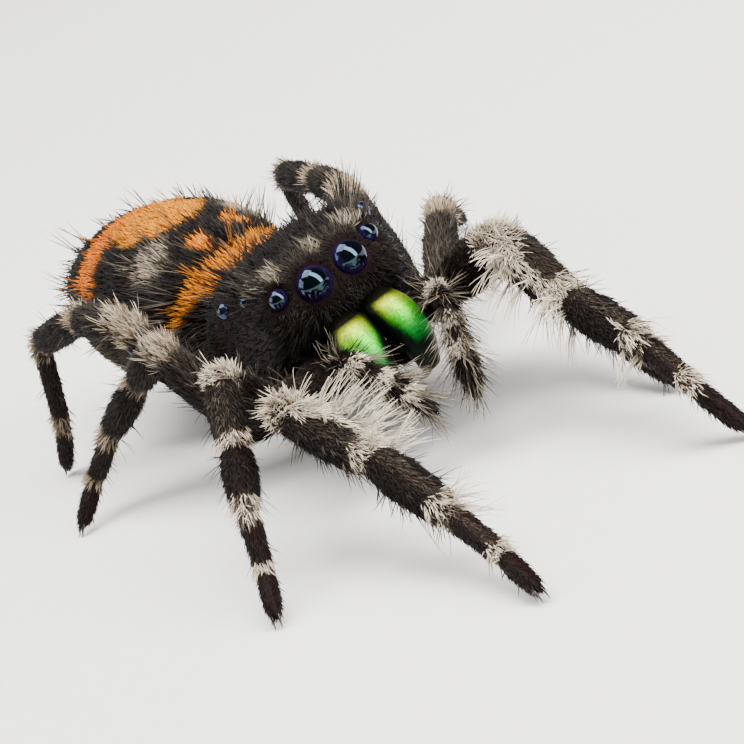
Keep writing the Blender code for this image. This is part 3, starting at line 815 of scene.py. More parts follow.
@dataclass
class CarapaceShape:
    """Carapace in its own frame; the face is set back so that the front eyes stand out."""

    # forward, half width, top and bottom
    sections: tuple[Row, ...] = (
        (-2.38, 0.45, 0.0, -0.5), (-2.32, 0.78, 0.2, -0.66), (-2.1, 1.28, 0.56, -0.86),
        (-1.6, 1.74, 0.98, -1.02), (-1.0, 1.96, 1.3, -1.12), (-0.4, 1.98, 1.43, -1.16),
        (0.2, 1.88, 1.46, -1.15), (0.8, 1.68, 1.39, -1.04), (1.3, 1.5, 1.26, -0.78),
        (1.66, 1.3, 1.12, -0.52), (1.9, 1.12, 0.99, -0.38), (2.08, 0.88, 0.86, -0.26),
        (2.18, 0.62, 0.68, -0.12), (2.21, 0.4, 0.52, 0.0),
    )
    boxiness: float = 2.5
    coat_depth: float = 0.05
    # farthest that the sections go from the middle
    reach: float = 2.38
    # share 0 is this far forward, and share 1 this much further back
    front: float = 2.35
    length: float = 4.7
    # height of the line that the turn is measured round
    turn_height: float = 0.15
    # how far the eyes push the hair aside, in radii of the eye
    eye_push: Pair = (2.4, 1.0)

    def measures(self, forward: Array) -> tuple[Array, Array, Array]:
        """Read the sections at places along the body.

        Args:
            forward: the places.

        Returns:
            Half width, middle height and half height at each of them.
        """
        rows = np.array(self.sections).T
        width, top, bottom = (np.interp(forward, rows[0], row) for row in rows[1:])
        return width, 0.5 * (top + bottom), 0.5 * (top - bottom)

    def shell(self) -> Shell:
        """Make the carapace under its coat, with finer sections than the solid's.

        Returns:
            Its closed shell.
        """
        forward = np.linspace(self.sections[0][0], self.sections[-1][0], 60)
        width, middle, height = self.measures(forward)
        centres = BODY.place(np.stack([forward, np.zeros_like(forward), middle], 1))
        return ring_tube(centres, BODY.axes[:, 1], BODY.axes[:, 2], width - self.coat_depth,
                         height - self.coat_depth, 48, self.boxiness)

    def depth(self, points: Array) -> Array:
        """Measure roughly how far points are outside the carapace.

        Args:
            points: points in the spider's frame.

        Returns:
            The distances, negative inside.
        """
        forward, out, up = BODY.local(points).T
        width, middle, height = self.measures(forward)
        power = self.boxiness
        reach = np.abs(out / width) ** power + np.abs((up - middle) / height) ** power
        reach = reach ** (1.0 / power)
        beyond = np.maximum(np.abs(forward) - self.reach, 0.0)
        return (reach - 1.0) * np.minimum(width, height) + beyond

    def places(self, points: Array, normals: Array) -> Places:
        """Describe points of the skin on the carapace; hair lies back, and away from the eyes.

        Args:
            points: points in the spider's frame.
            normals: skin normals there.

        Returns:
            What the coat needs to know.
        """
        local = BODY.local(points)
        share = (self.front - local[:, 0]) / self.length
        turn = np.degrees(np.arctan2(local[:, 2] - self.turn_height, local[:, 1])) % 360.0
        # On the face the hair fans out from the main eye of its side
        eye = np.tile((2.2, *EYE_PAIRS["main"][0][1:]), (len(points), 1))
        eye[:, 1] *= np.sign(local[:, 1])
        away = unit(local - eye) * np.array((0.2, 1.0, 1.0))
        front = rise(BODY.local_turn(normals)[:, 0], 0.35, 0.3)[:, None]
        back = np.array((-1.0, 0.0, 0.15))
        lie = tangent(BODY.turn(back * (1.0 - front) + away * front), normals)
        reach, outward = eye_reach(points)
        near = fall(reach, *self.eye_push)[:, None]
        lie = tangent(lie * (1.0 - near) + outward * near, normals)
        return Places(points, share, turn, lie, local)


@dataclass
class AbdomenShape:
    """Abdomen in its own frame: an egg with its girth given along its length."""

    half: Point = (3.08, 2.02, 1.78)
    centre: Point = (-3.54, 0.0, 0.62)
    # share of the length from the front, girth as a share of the greatest
    profile: tuple[Pair, ...] = (
        (0.0, 0.0), (0.02, 0.34), (0.07, 0.58), (0.15, 0.78), (0.26, 0.92), (0.4, 1.0),
        (0.54, 0.99), (0.67, 0.91), (0.79, 0.76), (0.89, 0.55), (0.96, 0.33), (1.0, 0.0),
    )
    power: float = 2.15
    coat_depth: float = 0.1

    def girth(self, share: Array) -> Array:
        """Girth at shares of the length from the front, as a share of the greatest."""
        rows = np.array(self.profile)
        # The square of the girth is nearly straight at the ends, so it is read between the rows
        return np.sqrt(np.interp(share, rows[:, 0], rows[:, 1] ** 2))

    def shell(self) -> Shell:
        """Make the abdomen under its coat.

        Returns:
            Its closed shell.
        """
        share = 0.5 - 0.5 * np.cos(np.linspace(0.06, math.pi - 0.06, 60))
        girth = self.girth(share)
        length, width, height = (value - self.coat_depth for value in self.half)
        centres = np.array(self.centre) + np.outer(1.0 - 2.0 * share, (length, 0.0, 0.0))
        return ring_tube(REAR.place(centres), REAR.axes[:, 1], REAR.axes[:, 2],
                         width * girth, height * girth, 48, self.power)

    def depth(self, points: Array) -> Array:
        """Rough distance of points outside the abdomen, negative inside."""
        local = REAR.local(points) - np.array(self.centre)
        return (np.linalg.norm(local / np.array(self.half), axis=1) - 1.0) * self.half[2]

    def places(self, points: Array, normals: Array) -> Places:
        """Describe points of the skin on the abdomen; hair lies towards the rear.

        Args:
            points: points in the spider's frame.
            normals: skin normals there.

        Returns:
            What the coat needs to know.
        """
        local = REAR.local(points) - np.array(self.centre)
        share = 0.5 - 0.5 * local[:, 0] / self.half[0]
        turn = np.arctan2(local[:, 2] / self.half[2], local[:, 1] / self.half[1])
        lie = tangent(REAR.turn(np.tile((-1.0, 0.0, 0.05), (len(points), 1))), normals)
        return Places(points, share, np.degrees(turn) % 360.0, lie, local)


# Share along each segment of a leg and girth there, as a share of the segment's full radius
LEG_PROFILES: dict[Segment, tuple[Pair, ...]] = {
    Segment.COXA: ((0.0, 0.85), (0.5, 0.95), (0.86, 0.86), (1.0, 0.7)),
    Segment.FEMUR: ((0.0, 0.64), (0.1, 0.82), (0.3, 1.0), (0.55, 1.0), (0.82, 0.88),
                    (0.94, 0.76), (1.0, 0.68)),
    Segment.PATELLA: ((0.0, 0.7), (0.1, 0.84), (0.45, 1.0), (0.8, 0.94), (0.94, 0.8),
                      (1.0, 0.7)),
    Segment.TIBIA: ((0.0, 0.72), (0.1, 0.84), (0.4, 1.0), (0.75, 0.92), (0.93, 0.78),
                    (1.0, 0.68)),
    Segment.METATARSUS: ((0.0, 0.8), (0.1, 0.95), (0.4, 0.94), (0.9, 0.9), (1.0, 0.78)),
    Segment.TARSUS: ((0.0, 0.8), (0.1, 0.95), (0.5, 1.0), (0.9, 0.9), (1.0, 0.7)),
}
# Radius of each segment under its coat, as a share of the leg's femur radius in the solids
LEG_GIRTH = {Segment.COXA: 0.8, Segment.FEMUR: 0.88, Segment.PATELLA: 0.78, Segment.TIBIA: 0.72,
             Segment.METATARSUS: 0.46}


@dataclass
class LegShape:
    """One leg from its coxa to its foot."""

    number: int
    side: Side
    # least radius of the metatarsus, radius of the tarsus and height of a leg over its width
    slim: float = 0.19
    toe: float = 0.165
    flatness: float = 1.06

    def radius(self, segment: Segment) -> float:
        """Work out the full radius of a segment under its coat.

        Args:
            segment: the segment.

        Returns:
            The radius.
        """
        if segment is Segment.TARSUS:
            return self.toe
        least = self.slim if segment is Segment.METATARSUS else 0.0
        return max(least, SKELETON.femur_radii[self.number] * LEG_GIRTH[segment])

    def headings(self) -> Array:
        """Find the heading of each segment, the coxa's from its ends.

        Returns:
            The headings in radians.
        """
        root, hip = SKELETON.leg_joints(self.number, self.side)[:2]
        out = hip - root
        rest = SKELETON.poses[(self.number, self.side)].headings
        return np.radians([math.degrees(math.atan2(out[1], out[0])), *rest])

    def shell(self) -> Shell:
        """Make the whole leg as one tube that narrows at each joint.

        Returns:
            Its closed shell.
        """
        joints = SKELETON.leg_joints(self.number, self.side)
        points, radii, left = [], [], []
        for segment, heading, start, end in zip(Segment, self.headings(), joints, joints[1:]):
            # The far end of a segment is left to the next one
            rows = LEG_PROFILES[segment]
            for share, girth in rows if segment is Segment.TARSUS else rows[:-1]:
                points.append(start + (end - start) * share)
                radii.append(girth * self.radius(segment))
                left.append((-math.sin(heading), math.cos(heading), 0.0))
        return round_tube(np.array(points), np.array(radii), unit(np.array(left)), 18,
                          self.flatness)

    def _surveys(self, points: Array) -> tuple[Array, Array]:
        """Measure points against each segment.

        Args:
            points: points in the spider's frame.

        Returns:
            Distance outside each segment, and the share along it.
        """
        joints = SKELETON.leg_joints(self.number, self.side)
        depths, shares = [], []
        for segment, start, end in zip(Segment, joints, joints[1:]):
            line = end - start
            share = (points - start) @ line / (line @ line)
            near = start + np.clip(share, 0.0, 1.0)[:, None] * line
            depths.append(np.linalg.norm(points - near, axis=1) - self.radius(segment))
            shares.append(share)
        return np.array(depths), np.array(shares)

    def depth(self, points: Array) -> Array:
        """Rough distance of points outside the leg, negative inside."""
        return np.min(self._surveys(points)[0], axis=0)

    def places(self, points: Array, normals: Array) -> Places:
        """Describe points of the skin on the leg; hair lies towards the foot.

        Args:
            points: points in the spider's frame.
            normals: skin normals there.

        Returns:
            What the coat needs to know.
        """
        joints = np.array(SKELETON.leg_joints(self.number, self.side))
        depths, shares = self._surveys(points)
        segment = np.argmin(depths, axis=0)
        share = np.clip(np.choose(segment, shares), 0.0, 1.0)
        headings = self.headings()[segment]
        along = unit(joints[1:] - joints[:-1])[segment]
        left = np.stack([-np.sin(headings), np.cos(headings), np.zeros_like(headings)], 1)
        upward = unit(np.cross(along, left))
        out = normals - along * np.sum(normals * along, 1)[:, None]
        turn = np.degrees(np.arctan2(np.sum(out * upward, 1), np.sum(out * left, 1))) % 360.0
        return Places(points, share, turn, tangent(along, normals), points, segment)


@dataclass
class PalpShape:
    """One palp: short front limb with its end hanging before the jaws."""

    side: Side
    # forward, out, up and radius; right and left start alike and hang differently
    root: tuple[Row, ...] = (
        (1.55, 0.72, -1.02, 0.2), (1.85, 0.98, -1.22, 0.18), (2.14, 1.08, -1.26, 0.18),
        (2.42, 1.1, -1.17, 0.2), (2.7, 1.09, -1.06, 0.2), (2.96, 1.04, -0.95, 0.185),
    )
    ends: tuple[tuple[Row, ...], tuple[Row, ...]] = (
        ((3.12, 1.02, -0.98, 0.17), (3.27, 0.98, -1.12, 0.2), (3.38, 0.9, -1.34, 0.21),
         (3.43, 0.8, -1.55, 0.18), (3.45, 0.72, -1.76, 0.22), (3.46, 0.58, -2.05, 0.24),
         (3.44, 0.44, -2.4, 0.16)),
        ((3.12, 0.99, -0.97, 0.17), (3.28, 0.95, -1.1, 0.2), (3.42, 0.85, -1.38, 0.21),
         (3.47, 0.78, -1.6, 0.18), (3.53, 0.66, -1.84, 0.22), (3.6, 0.5, -2.2, 0.24),
         (3.62, 0.36, -2.58, 0.16)),
    )
    # radius under the coat, as a share of the solid's
    bare_share: float = 0.86

    def line(self) -> tuple[Array, Array]:
        """Middle line in the spider's frame and its radii under the coat."""
        rows = np.array(self.root + self.side.pick(self.ends))
        return (BODY.place(rows[:, :3] * self.side.mirror),
                rows[:, 3] * self.bare_share)

    def shell(self) -> Shell:
        """The palp as one tube."""
        points, radii = self.line()
        return round_tube(points, radii, BODY.axes[:, 1])

    def _nearest(self, points: Array) -> tuple[Array, Array, Array]:
        """Find the stretch of the palp that is nearest to each point.

        Args:
            points: points in the spider's frame.

        Returns:
            Distance outside it, share of the whole length and direction of the stretch.
        """
        line, radii = self.line()
        steps = line[1:] - line[:-1]
        lengths = np.linalg.norm(steps, axis=1)
        reach = np.concatenate([[0.0], np.cumsum(lengths)]) / lengths.sum()
        best = np.full(len(points), np.inf)
        share, along = np.zeros(len(points)), np.zeros((len(points), 3))
        for index, (start, step) in enumerate(zip(line, steps)):
            part = np.clip((points - start) @ step / (step @ step), 0.0, 1.0)
            depth = np.linalg.norm(points - start - part[:, None] * step, axis=1)
            depth -= radii[index] + part * (radii[index + 1] - radii[index])
            closer = depth < best
            best = np.where(closer, depth, best)
            so_far = reach[index] + part * (reach[index + 1] - reach[index])
            share = np.where(closer, so_far, share)
            along[closer] = step / lengths[index]
        return best, share, along

    def depth(self, points: Array) -> Array:
        """Rough distance of points outside the palp, negative inside."""
        return self._nearest(points)[0]

    def places(self, points: Array, normals: Array) -> Places:
        """Describe points of the skin on the palp; hair lies towards its end.

        Args:
            points: points in the spider's frame.
            normals: skin normals there.

        Returns:
            What the coat needs to know.
        """
        _, share, along = self._nearest(points)
        facing = BODY.local_turn(normals)
        turn = np.degrees(np.arctan2(facing[:, 0] + facing[:, 2], facing[:, 1])) % 360.0
        return Places(points, share, turn, tangent(along, normals), BODY.local(points))


Shape = CarapaceShape | AbdomenShape | LegShape | PalpShape


class Eye:
    """One eye: its ball in the spider's frame and the way that it looks."""

    def __init__(self, label: str, place: Point, radius: float, side: Side) -> None:
        """Place the eye.

        Args:
            label: name of the pair.
            place: forward, out and up of the left one, in the carapace's frame.
            radius: radius of the ball.
            side: its side of the head.
        """
        self.label, self.radius = f"{label}_{side.label}", radius
        self.centre = BODY.place(place * side.mirror)
        self.axis = unit(self.centre - BODY.place((0.3, 0.0, 0.0)))


EYE_PAIRS = {
    "main": ((2.10, 0.385, 0.36), 0.325), "front_side": ((1.80, 0.99, 0.50), 0.19),
    "middle": ((1.17, 1.35, 0.80), 0.10), "rear_side": ((0.42, 1.55, 0.88), 0.17),
}
EYES = [Eye(label, *sizes, side) for label, sizes in EYE_PAIRS.items() for side in Side]


def eye_reach(points: Array) -> tuple[Array, Array]:
    """Measure points against the nearest eye.

    Args:
        points: points in the spider's frame.

    Returns:
        Distance to the eye's middle in radii of that eye, and the direction away from it.
    """
    best = np.full(len(points), np.inf)
    outward = np.zeros((len(points), 3))
    for eye in EYES:
        away = points - eye.centre
        reach = np.linalg.norm(away, axis=1) / eye.radius
        closer = reach < best
        best = np.where(closer, reach, best)
        outward[closer] = unit(away[closer])
    return best, outward


@dataclass
class Eyes:
    """The eight eyes: a polished dome of cornea that sinks into a dark rim."""

    row: RowShift
    finish: LensFinish = LensFinish()
    # forward and out, as shares of the radius, where the part hidden in the head and the dome end
    root: Pair = (-0.6, 0.8)
    crown: Pair = (0.99, 0.14)
    rings: int = 28
    sides: int = 40

    def build(self) -> None:
        """Make each eye in place of its solid."""
        material = self.finish.material()
        for eye in EYES:
            self.row.dress(self._dome(eye), material, "eye_lens", [f"eye_{eye.label}"])

    def _dome(self, eye: Eye) -> Piece:
        """Turn the outline of an eye about its axis.

        Args:
            eye: the eye.

        Returns:
            The piece, with its rim marked.
        """
        axes = axes_along(eye.axis)
        ends = [math.atan2(out, forward) for forward, out in (self.root, self.crown)]
        tilt = np.linspace(*ends, self.rings)
        forward, out = np.cos(tilt) * eye.radius, np.sin(tilt) * eye.radius
        centres = eye.centre + np.outer(forward, axes[:, 0])
        shell = ring_tube(centres, axes[:, 1], axes[:, 2], out, out, self.sides)
        shell.points[-1] = eye.centre + axes[:, 0] * eye.radius
        piece = mesh_from_shell(f"cornea_{eye.label}", shell)
        reach = (shell.points - eye.centre) @ axes[:, 0] / eye.radius
        write_floats(piece, {"rim": np.degrees(np.arccos(np.clip(reach, -1.0, 1.0))) / 90.0})
        return piece


def smooth_rows(rows: Array, count: int) -> Array:
    """Read more rows between the given ones on a smooth curve.

    Args:
        rows: the given rows.
        count: how many to read.

    Returns:
        The rows, the first and last as given.
    """
    place = np.linspace(0.0, len(rows) - 1.0, count)
    soft = np.stack([np.interp(place, np.arange(len(rows)), column) for column in rows.T], 1)
    for _ in range(3):
        soft[1:-1] = 0.25 * soft[:-2] + 0.5 * soft[1:-1] + 0.25 * soft[2:]
    return soft


@dataclass
class Jaws:
    """The two chelicerae with their fangs."""

    row: RowShift
    # forward, out, up and radius from top to bottom
    path: tuple[Row, ...] = (
        (1.96, 0.41, -0.56, 0.25), (2.12, 0.42, -0.68, 0.315), (2.26, 0.43, -0.86, 0.36),
        (2.33, 0.43, -1.08, 0.375), (2.35, 0.44, -1.3, 0.35), (2.335, 0.44, -1.52, 0.31),
        (2.3, 0.43, -1.7, 0.26), (2.26, 0.42, -1.84, 0.2),
    )
    fang: tuple[Row, ...] = (
        (2.22, 0.36, -1.8, 0.12), (2.21, 0.34, -1.93, 0.105), (2.15, 0.28, -2.02, 0.08),
        (2.06, 0.21, -2.06, 0.05), (1.98, 0.16, -2.07, 0.02),
    )
    # how far the ends of the jaw are rounded past the path, above and below
    top_round: float = 0.12
    bottom_round: float = 0.16
    # soft edge of the lively colour against the painted shade of the sides, in radii of the jaw
    edge: float = 0.28
    # half of the gap between the jaws above, and how much it widens below
    gap: Pair = (0.008, 0.16)
    green: GreenScaleFinish = GreenScaleFinish()
    horn: ClawFinish = ClawFinish()

    def build(self) -> None:
        """Make both jaws in place of their solids, and the fangs under them."""
        green, horn = self.green.material(), self.horn.material()
        for side in Side:
            shell, rows = self._tube(self.path, side, 26, 40)
            marks = self._part(shell, rows, side)
            jaw = mesh_from_shell(f"jaw_{side.label}", shell)
            write_floats(jaw, marks)
            self.row.dress(jaw, green, "green_chelicera", [f"chelicera_{side.label}"])
            fang = mesh_from_shell(f"fang_{side.label}", self._tube(self.fang, side, 14, 14)[0])
            self.row.dress(fang, horn, "dark_cuticle")

    @staticmethod
    def _tube(path: tuple[Row, ...], side: Side, rings: int, sides: int) -> tuple[Shell, Array]:
        """Make a smooth round tube along a path.

        Args:
            path: forward, out, up and radius.
            side: its side of the head.
            rings: rows of points along it.
            sides: points round it.

        Returns:
            The closed shell and its smooth path.
        """
        rows = smooth_rows(np.array(path) * (*side.mirror, 1.0), rings)
        return round_tube(BODY.place(rows[:, :3]), rows[:, 3], BODY.axes[:, 1], sides), rows

    def _part(self, shell: Shell, rows: Array, side: Side) -> Marks:
        """Press the inner side of a jaw flat, so that it parts from the other one.

        Args:
            shell: the round jaw, which is changed.
            rows: its smooth path.
            side: its side of the head.

        Returns:
            The floats for its finish: down, and the mark of the painted shade on the sides.
        """
        local = BODY.local(shell.points)
        top, bottom = self.path[0][2] + self.top_round, self.path[-1][2] - self.bottom_round
        down = fall(local[:, 2], top, top - bottom)
        middle, out, radius = (np.interp(-local[:, 2], -rows[:, 2], column)
                               for column in (rows[:, 0], np.abs(rows[:, 1]), rows[:, 3]))
        forward = (local[:, 0] - middle) / radius
        inward = (out - local[:, 1] * side.value) / radius
        # The lively colour narrows downwards to a drop, and the sides get painted shade
        inner_edge = 0.5 - 0.75 * rise(down, 0.25, 1.0)
        outer_edge = 0.8 - 0.55 * rise(down, 0.3, 1.0)
        flank_shade = np.maximum.reduce([-0.1 - forward, (inward - inner_edge) / self.edge,
                                   (-inward - outer_edge) / self.edge])
        # The inner sides of the two jaws lie flat against each other above and part below
        parting = self.gap[0] + self.gap[1] * rise(down, 0.35, 0.5)
        wider = np.where(inward > 0.0, np.clip((out - parting) / radius, 1.0, 1.8), 1.0)
        local[:, 1] = (out - wider * inward * radius) * side.value
        shell.points = BODY.place(local)
        return {"down": down, "flank_shade": np.clip(flank_shade, 0.0, 1.0)}


@dataclass
class Claws:
    """Two small claws at the end of each leg."""

    row: RowShift
    length: float = 0.2
    radius: float = 0.035
    spread: float = 0.06
    # distance before the toe's middle, how far the claw hooks down and its room over the floor
    forward: float = 0.05
    hook: float = 0.5
    room: float = 0.01
    finish: ClawFinish = ClawFinish("tanned_chitin_claw")

    def build(self) -> None:
        """Make all the claws as one piece."""
        steps = np.linspace(0.0, 1.0, 6)[:, None]
        drop = np.array((0.0, 0.0, -self.hook)) * steps ** 2
        radii = self.radius * (1.0 - 0.85 * steps[:, 0])
        shells = []
        for number in SKELETON.segment_lengths:
            for side in Side:
                heel, toe = SKELETON.leg_joints(number, side)[-2:]
                along = unit(toe - heel)
                left = unit(np.cross((0.0, 0.0, 1.0), along))
                for out in (-self.spread, self.spread):
                    start = toe + along * self.forward + left * out
                    points = start + (along * steps + drop) * self.length
                    points[:, 2] = np.maximum(points[:, 2], self.radius + self.room)
                    shells.append(round_tube(points, radii, left, 8))
        piece = mesh_from_shell("claws", join_shells(shells))
        self.row.dress(piece, self.finish.material(), "dark_cuticle")


@dataclass
class Skin:
    """The one closed skin over carapace, waist, abdomen, spinnerets, palps and legs."""

    shapes: Sequence[Shape]
    voxel: float = 0.06
    waist_radii: Point = (0.3, 0.2, 0.3)
    # place and half sizes of the balls; the plates are on both sides
    breastplate: tuple[Point, Point] = ((-0.1, 0.0, -0.98), (1.5, 0.62, 0.34))
    mouth_plates: tuple[tuple[Point, Point], ...] = (
        ((1.42, 0.33, -0.98), (0.45, 0.24, 0.3)), ((1.8, 0.18, -1.32), (0.2, 0.2, 0.42)),
    )
    # end of the abdomen, and lift and length of the spinnerets on each side
    tail: tuple[Point, Point] = ((-6.55, 0.0, 0.5), (0.3, 0.36, 0.34))
    spinnerets: tuple[Pair, ...] = ((-0.14, 0.34), (0.1, 0.48))
    spinneret_out: float = 0.16
    spinneret_radii: Pair = (0.15, 0.1)
    # an eye's cup: how far back it is, its half depth and half width, in radii of the eye
    cup: Point = (0.5, 0.8, 1.14)
    # bowl round an eye in radii: its floor, where it slopes up, the slope and its end
    bowl: Row = (0.1, 1.08, 0.55, 2.4)
    finish: CuticleFinish = CuticleFinish()

    def _details(self) -> list[Shell]:
        """Make waist, breastplate, mouth plates, spinnerets and a cup for each eye.

        Returns:
            Their shells.
        """
        waist = np.array([BODY.place((-2.0, 0.0, -0.25)),
                          REAR.place((-0.05, 0.0, 0.0)),
                          REAR.place((-1.0, 0.0, 0.2))])
        shells = [round_tube(waist, np.array(self.waist_radii), BODY.axes[:, 1]),
                  ball(BODY.place(self.breastplate[0]), self.breastplate[1], BODY.axes)]
        for side in Side:
            for place, size in self.mouth_plates:
                shells.append(ball(BODY.place(place * side.mirror), size, BODY.axes))
        tail = np.array(self.tail[0])
        shells.append(ball(REAR.place(tail), self.tail[1], REAR.axes))
        for out in (-self.spinneret_out, self.spinneret_out):
            for lift, length in self.spinnerets:
                start = tail + np.array((-0.05, out, lift))
                end = start + np.array((-length, out * 0.9, -0.06))
                line = REAR.place(np.array([start, end]))
                shells.append(round_tube(line, np.array(self.spinneret_radii), REAR.axes[:, 1], 12))
        back, deep, wide = self.cup
        for eye in EYES:
            axes = axes_along(eye.axis)
            middle = eye.centre - axes[:, 0] * eye.radius * back
            size = (eye.radius * deep, eye.radius * wide, eye.radius * wide)
            shells.append(ball(middle, size, axes))
        return shells

    def _clear_eye(self, points: Array, eye: Eye) -> None:
        """Press the skin round an eye back into a shallow bowl, so that the whole dome shows.

        Args:
            points: points of the skin, which are moved.
            eye: the eye.
        """
        bottom, start, slope, end = self.bowl
        away = points - eye.centre
        forward = away @ eye.axis / eye.radius
        out = np.linalg.norm(away - np.outer(away @ eye.axis, eye.axis), axis=1) / eye.radius
        limit = bottom + slope * np.maximum(out - start, 0.0)
        back = np.where((forward > limit) & (forward < 2.5) & (out < end), forward - limit, 0.0)
        points -= np.outer(back * eye.radius, eye.axis)

    def build(self) -> Piece:
        """Fuse all shells into one smooth closed surface.

        Returns:
            The skin, still in millimetres.
        """
        shells = [shape.shell() for shape in self.shapes] + self._details()
        rough = mesh_from_shell("rough_skin", join_shells(shells))
        remesh = rough.modifiers.new("fuse", "REMESH")
        remesh.mode, remesh.voxel_size = "VOXEL", self.voxel
        smooth = rough.modifiers.new("smooth", "SMOOTH")
        smooth.factor, smooth.iterations = 0.5, 5
        split = rough.modifiers.new("triangles", "TRIANGULATE")
        split.quad_method = "SHORTEST_DIAGONAL"
        graph = bpy.context.evaluated_depsgraph_get()
        graph.update()
        mesh = bpy.data.meshes.new_from_object(rough.evaluated_get(graph))
        shell = self._largest(Shell(read_rows(mesh.vertices, "co"),
                                    read_rows(mesh.polygons, "vertices", np.int32)))
        bpy.data.objects.remove(rough, do_unlink=True)
        bpy.data.meshes.remove(mesh)
        for eye in EYES:
            self._clear_eye(shell.points, eye)
        shell.points[:, 2] = np.maximum(shell.points[:, 2], 0.0)
        return mesh_from_shell("skin", shell)

    @staticmethod
    def _largest(shell: Shell) -> Shell:
        """Keep the biggest connected surface.

        Args:
            shell: surfaces side by side.

        Returns:
            The biggest of them.
        """
        label = np.arange(len(shell.points))
        edges = np.vstack([shell.triangles[:, :2], shell.triangles[:, 1:]])
        while True:
            low = np.minimum(label[edges[:, 0]], label[edges[:, 1]])
            new = label.copy()
            np.minimum.at(new, edges[:, 0], low)
            np.minimum.at(new, edges[:, 1], low)
            new = new[new]
            if np.array_equal(new, label):
                break
            label = new
        values, counts = np.unique(label, return_counts=True)
        keep = label == values[np.argmax(counts)]
        number = np.cumsum(keep) - 1
        chosen = keep[shell.triangles[:, 0]]
        return Shell(shell.points[keep], number[shell.triangles[chosen]])


@dataclass
class SkinMap:
    """Points and triangles of the skin, shared out to the shapes that they cover."""

    points: Array
    normals: Array
    triangles: Array
    owners: Array

    @classmethod
    def survey(cls, skin: Piece, shapes: Iterable[Shape]) -> "SkinMap":
        """Measure the skin.

        Args:
            skin: the skin, in millimetres.
            shapes: what it covers.

        Returns:
            The map, with the number of the nearest shape for each point.
        """
        points = read_rows(skin.data.vertices, "co")
        owners = np.argmin([shape.depth(points) for shape in shapes], axis=0)
        return cls(points, read_rows(skin.data.vertices, "normal"),
                   read_rows(skin.data.polygons, "vertices", np.int32), owners)

    def part(self, index: int) -> tuple[Array, Array, Array]:
        """Find the triangles that a shape owns.

        Args:
            index: number of the shape.

        Returns:
            Their corners, the normals there and their areas.
        """
        mine = self.triangles[self.owners[self.triangles[:, 0]] == index]
        corners = self.points[mine]
        cross = np.cross(corners[:, 1] - corners[:, 0], corners[:, 2] - corners[:, 0])
        return corners, self.normals[mine], 0.5 * np.linalg.norm(cross, axis=1)


# Shares of a hair's length that have a ring, for flat fur and for bristles that bend
FUR = (0.0, 0.5)
BRISTLE = (0.0, 0.35, 0.7)


@dataclass
class Layer:
    """One kind of hair; each value is a number or one number for each triangle of the area.

    density is in tufts a square millimetre, length and width in millimetres, lift the angle off the
    skin and curl the share of it lost towards the tip. The hairs of a tuft fan out, wave sideways
    by a share of their length and sway off the lie; steps are the shares of it that have a ring.
    """

    density: Any
    length: Any
    width: Any
    lift: Any
    curl: Any = 0.5
    pale: Any = 0.0
    orange: Any = 0.0
    hue: Any = 0.5
    hairs: int = 1
    fan: float = 0.0
    sway: float = 14.0
    wave: float = 0.0
    steps: tuple[float, ...] = FUR


@dataclass
class Tufts:
    """Roots and shapes of many single hairs, with their places on the unwrap and their marks."""

    roots: Array
    normals: Array
    lie: Array
    length: Array
    width: Array
    lift: Array
    curl: Array
    wave: Array
    patch: Array
    marks: Marks


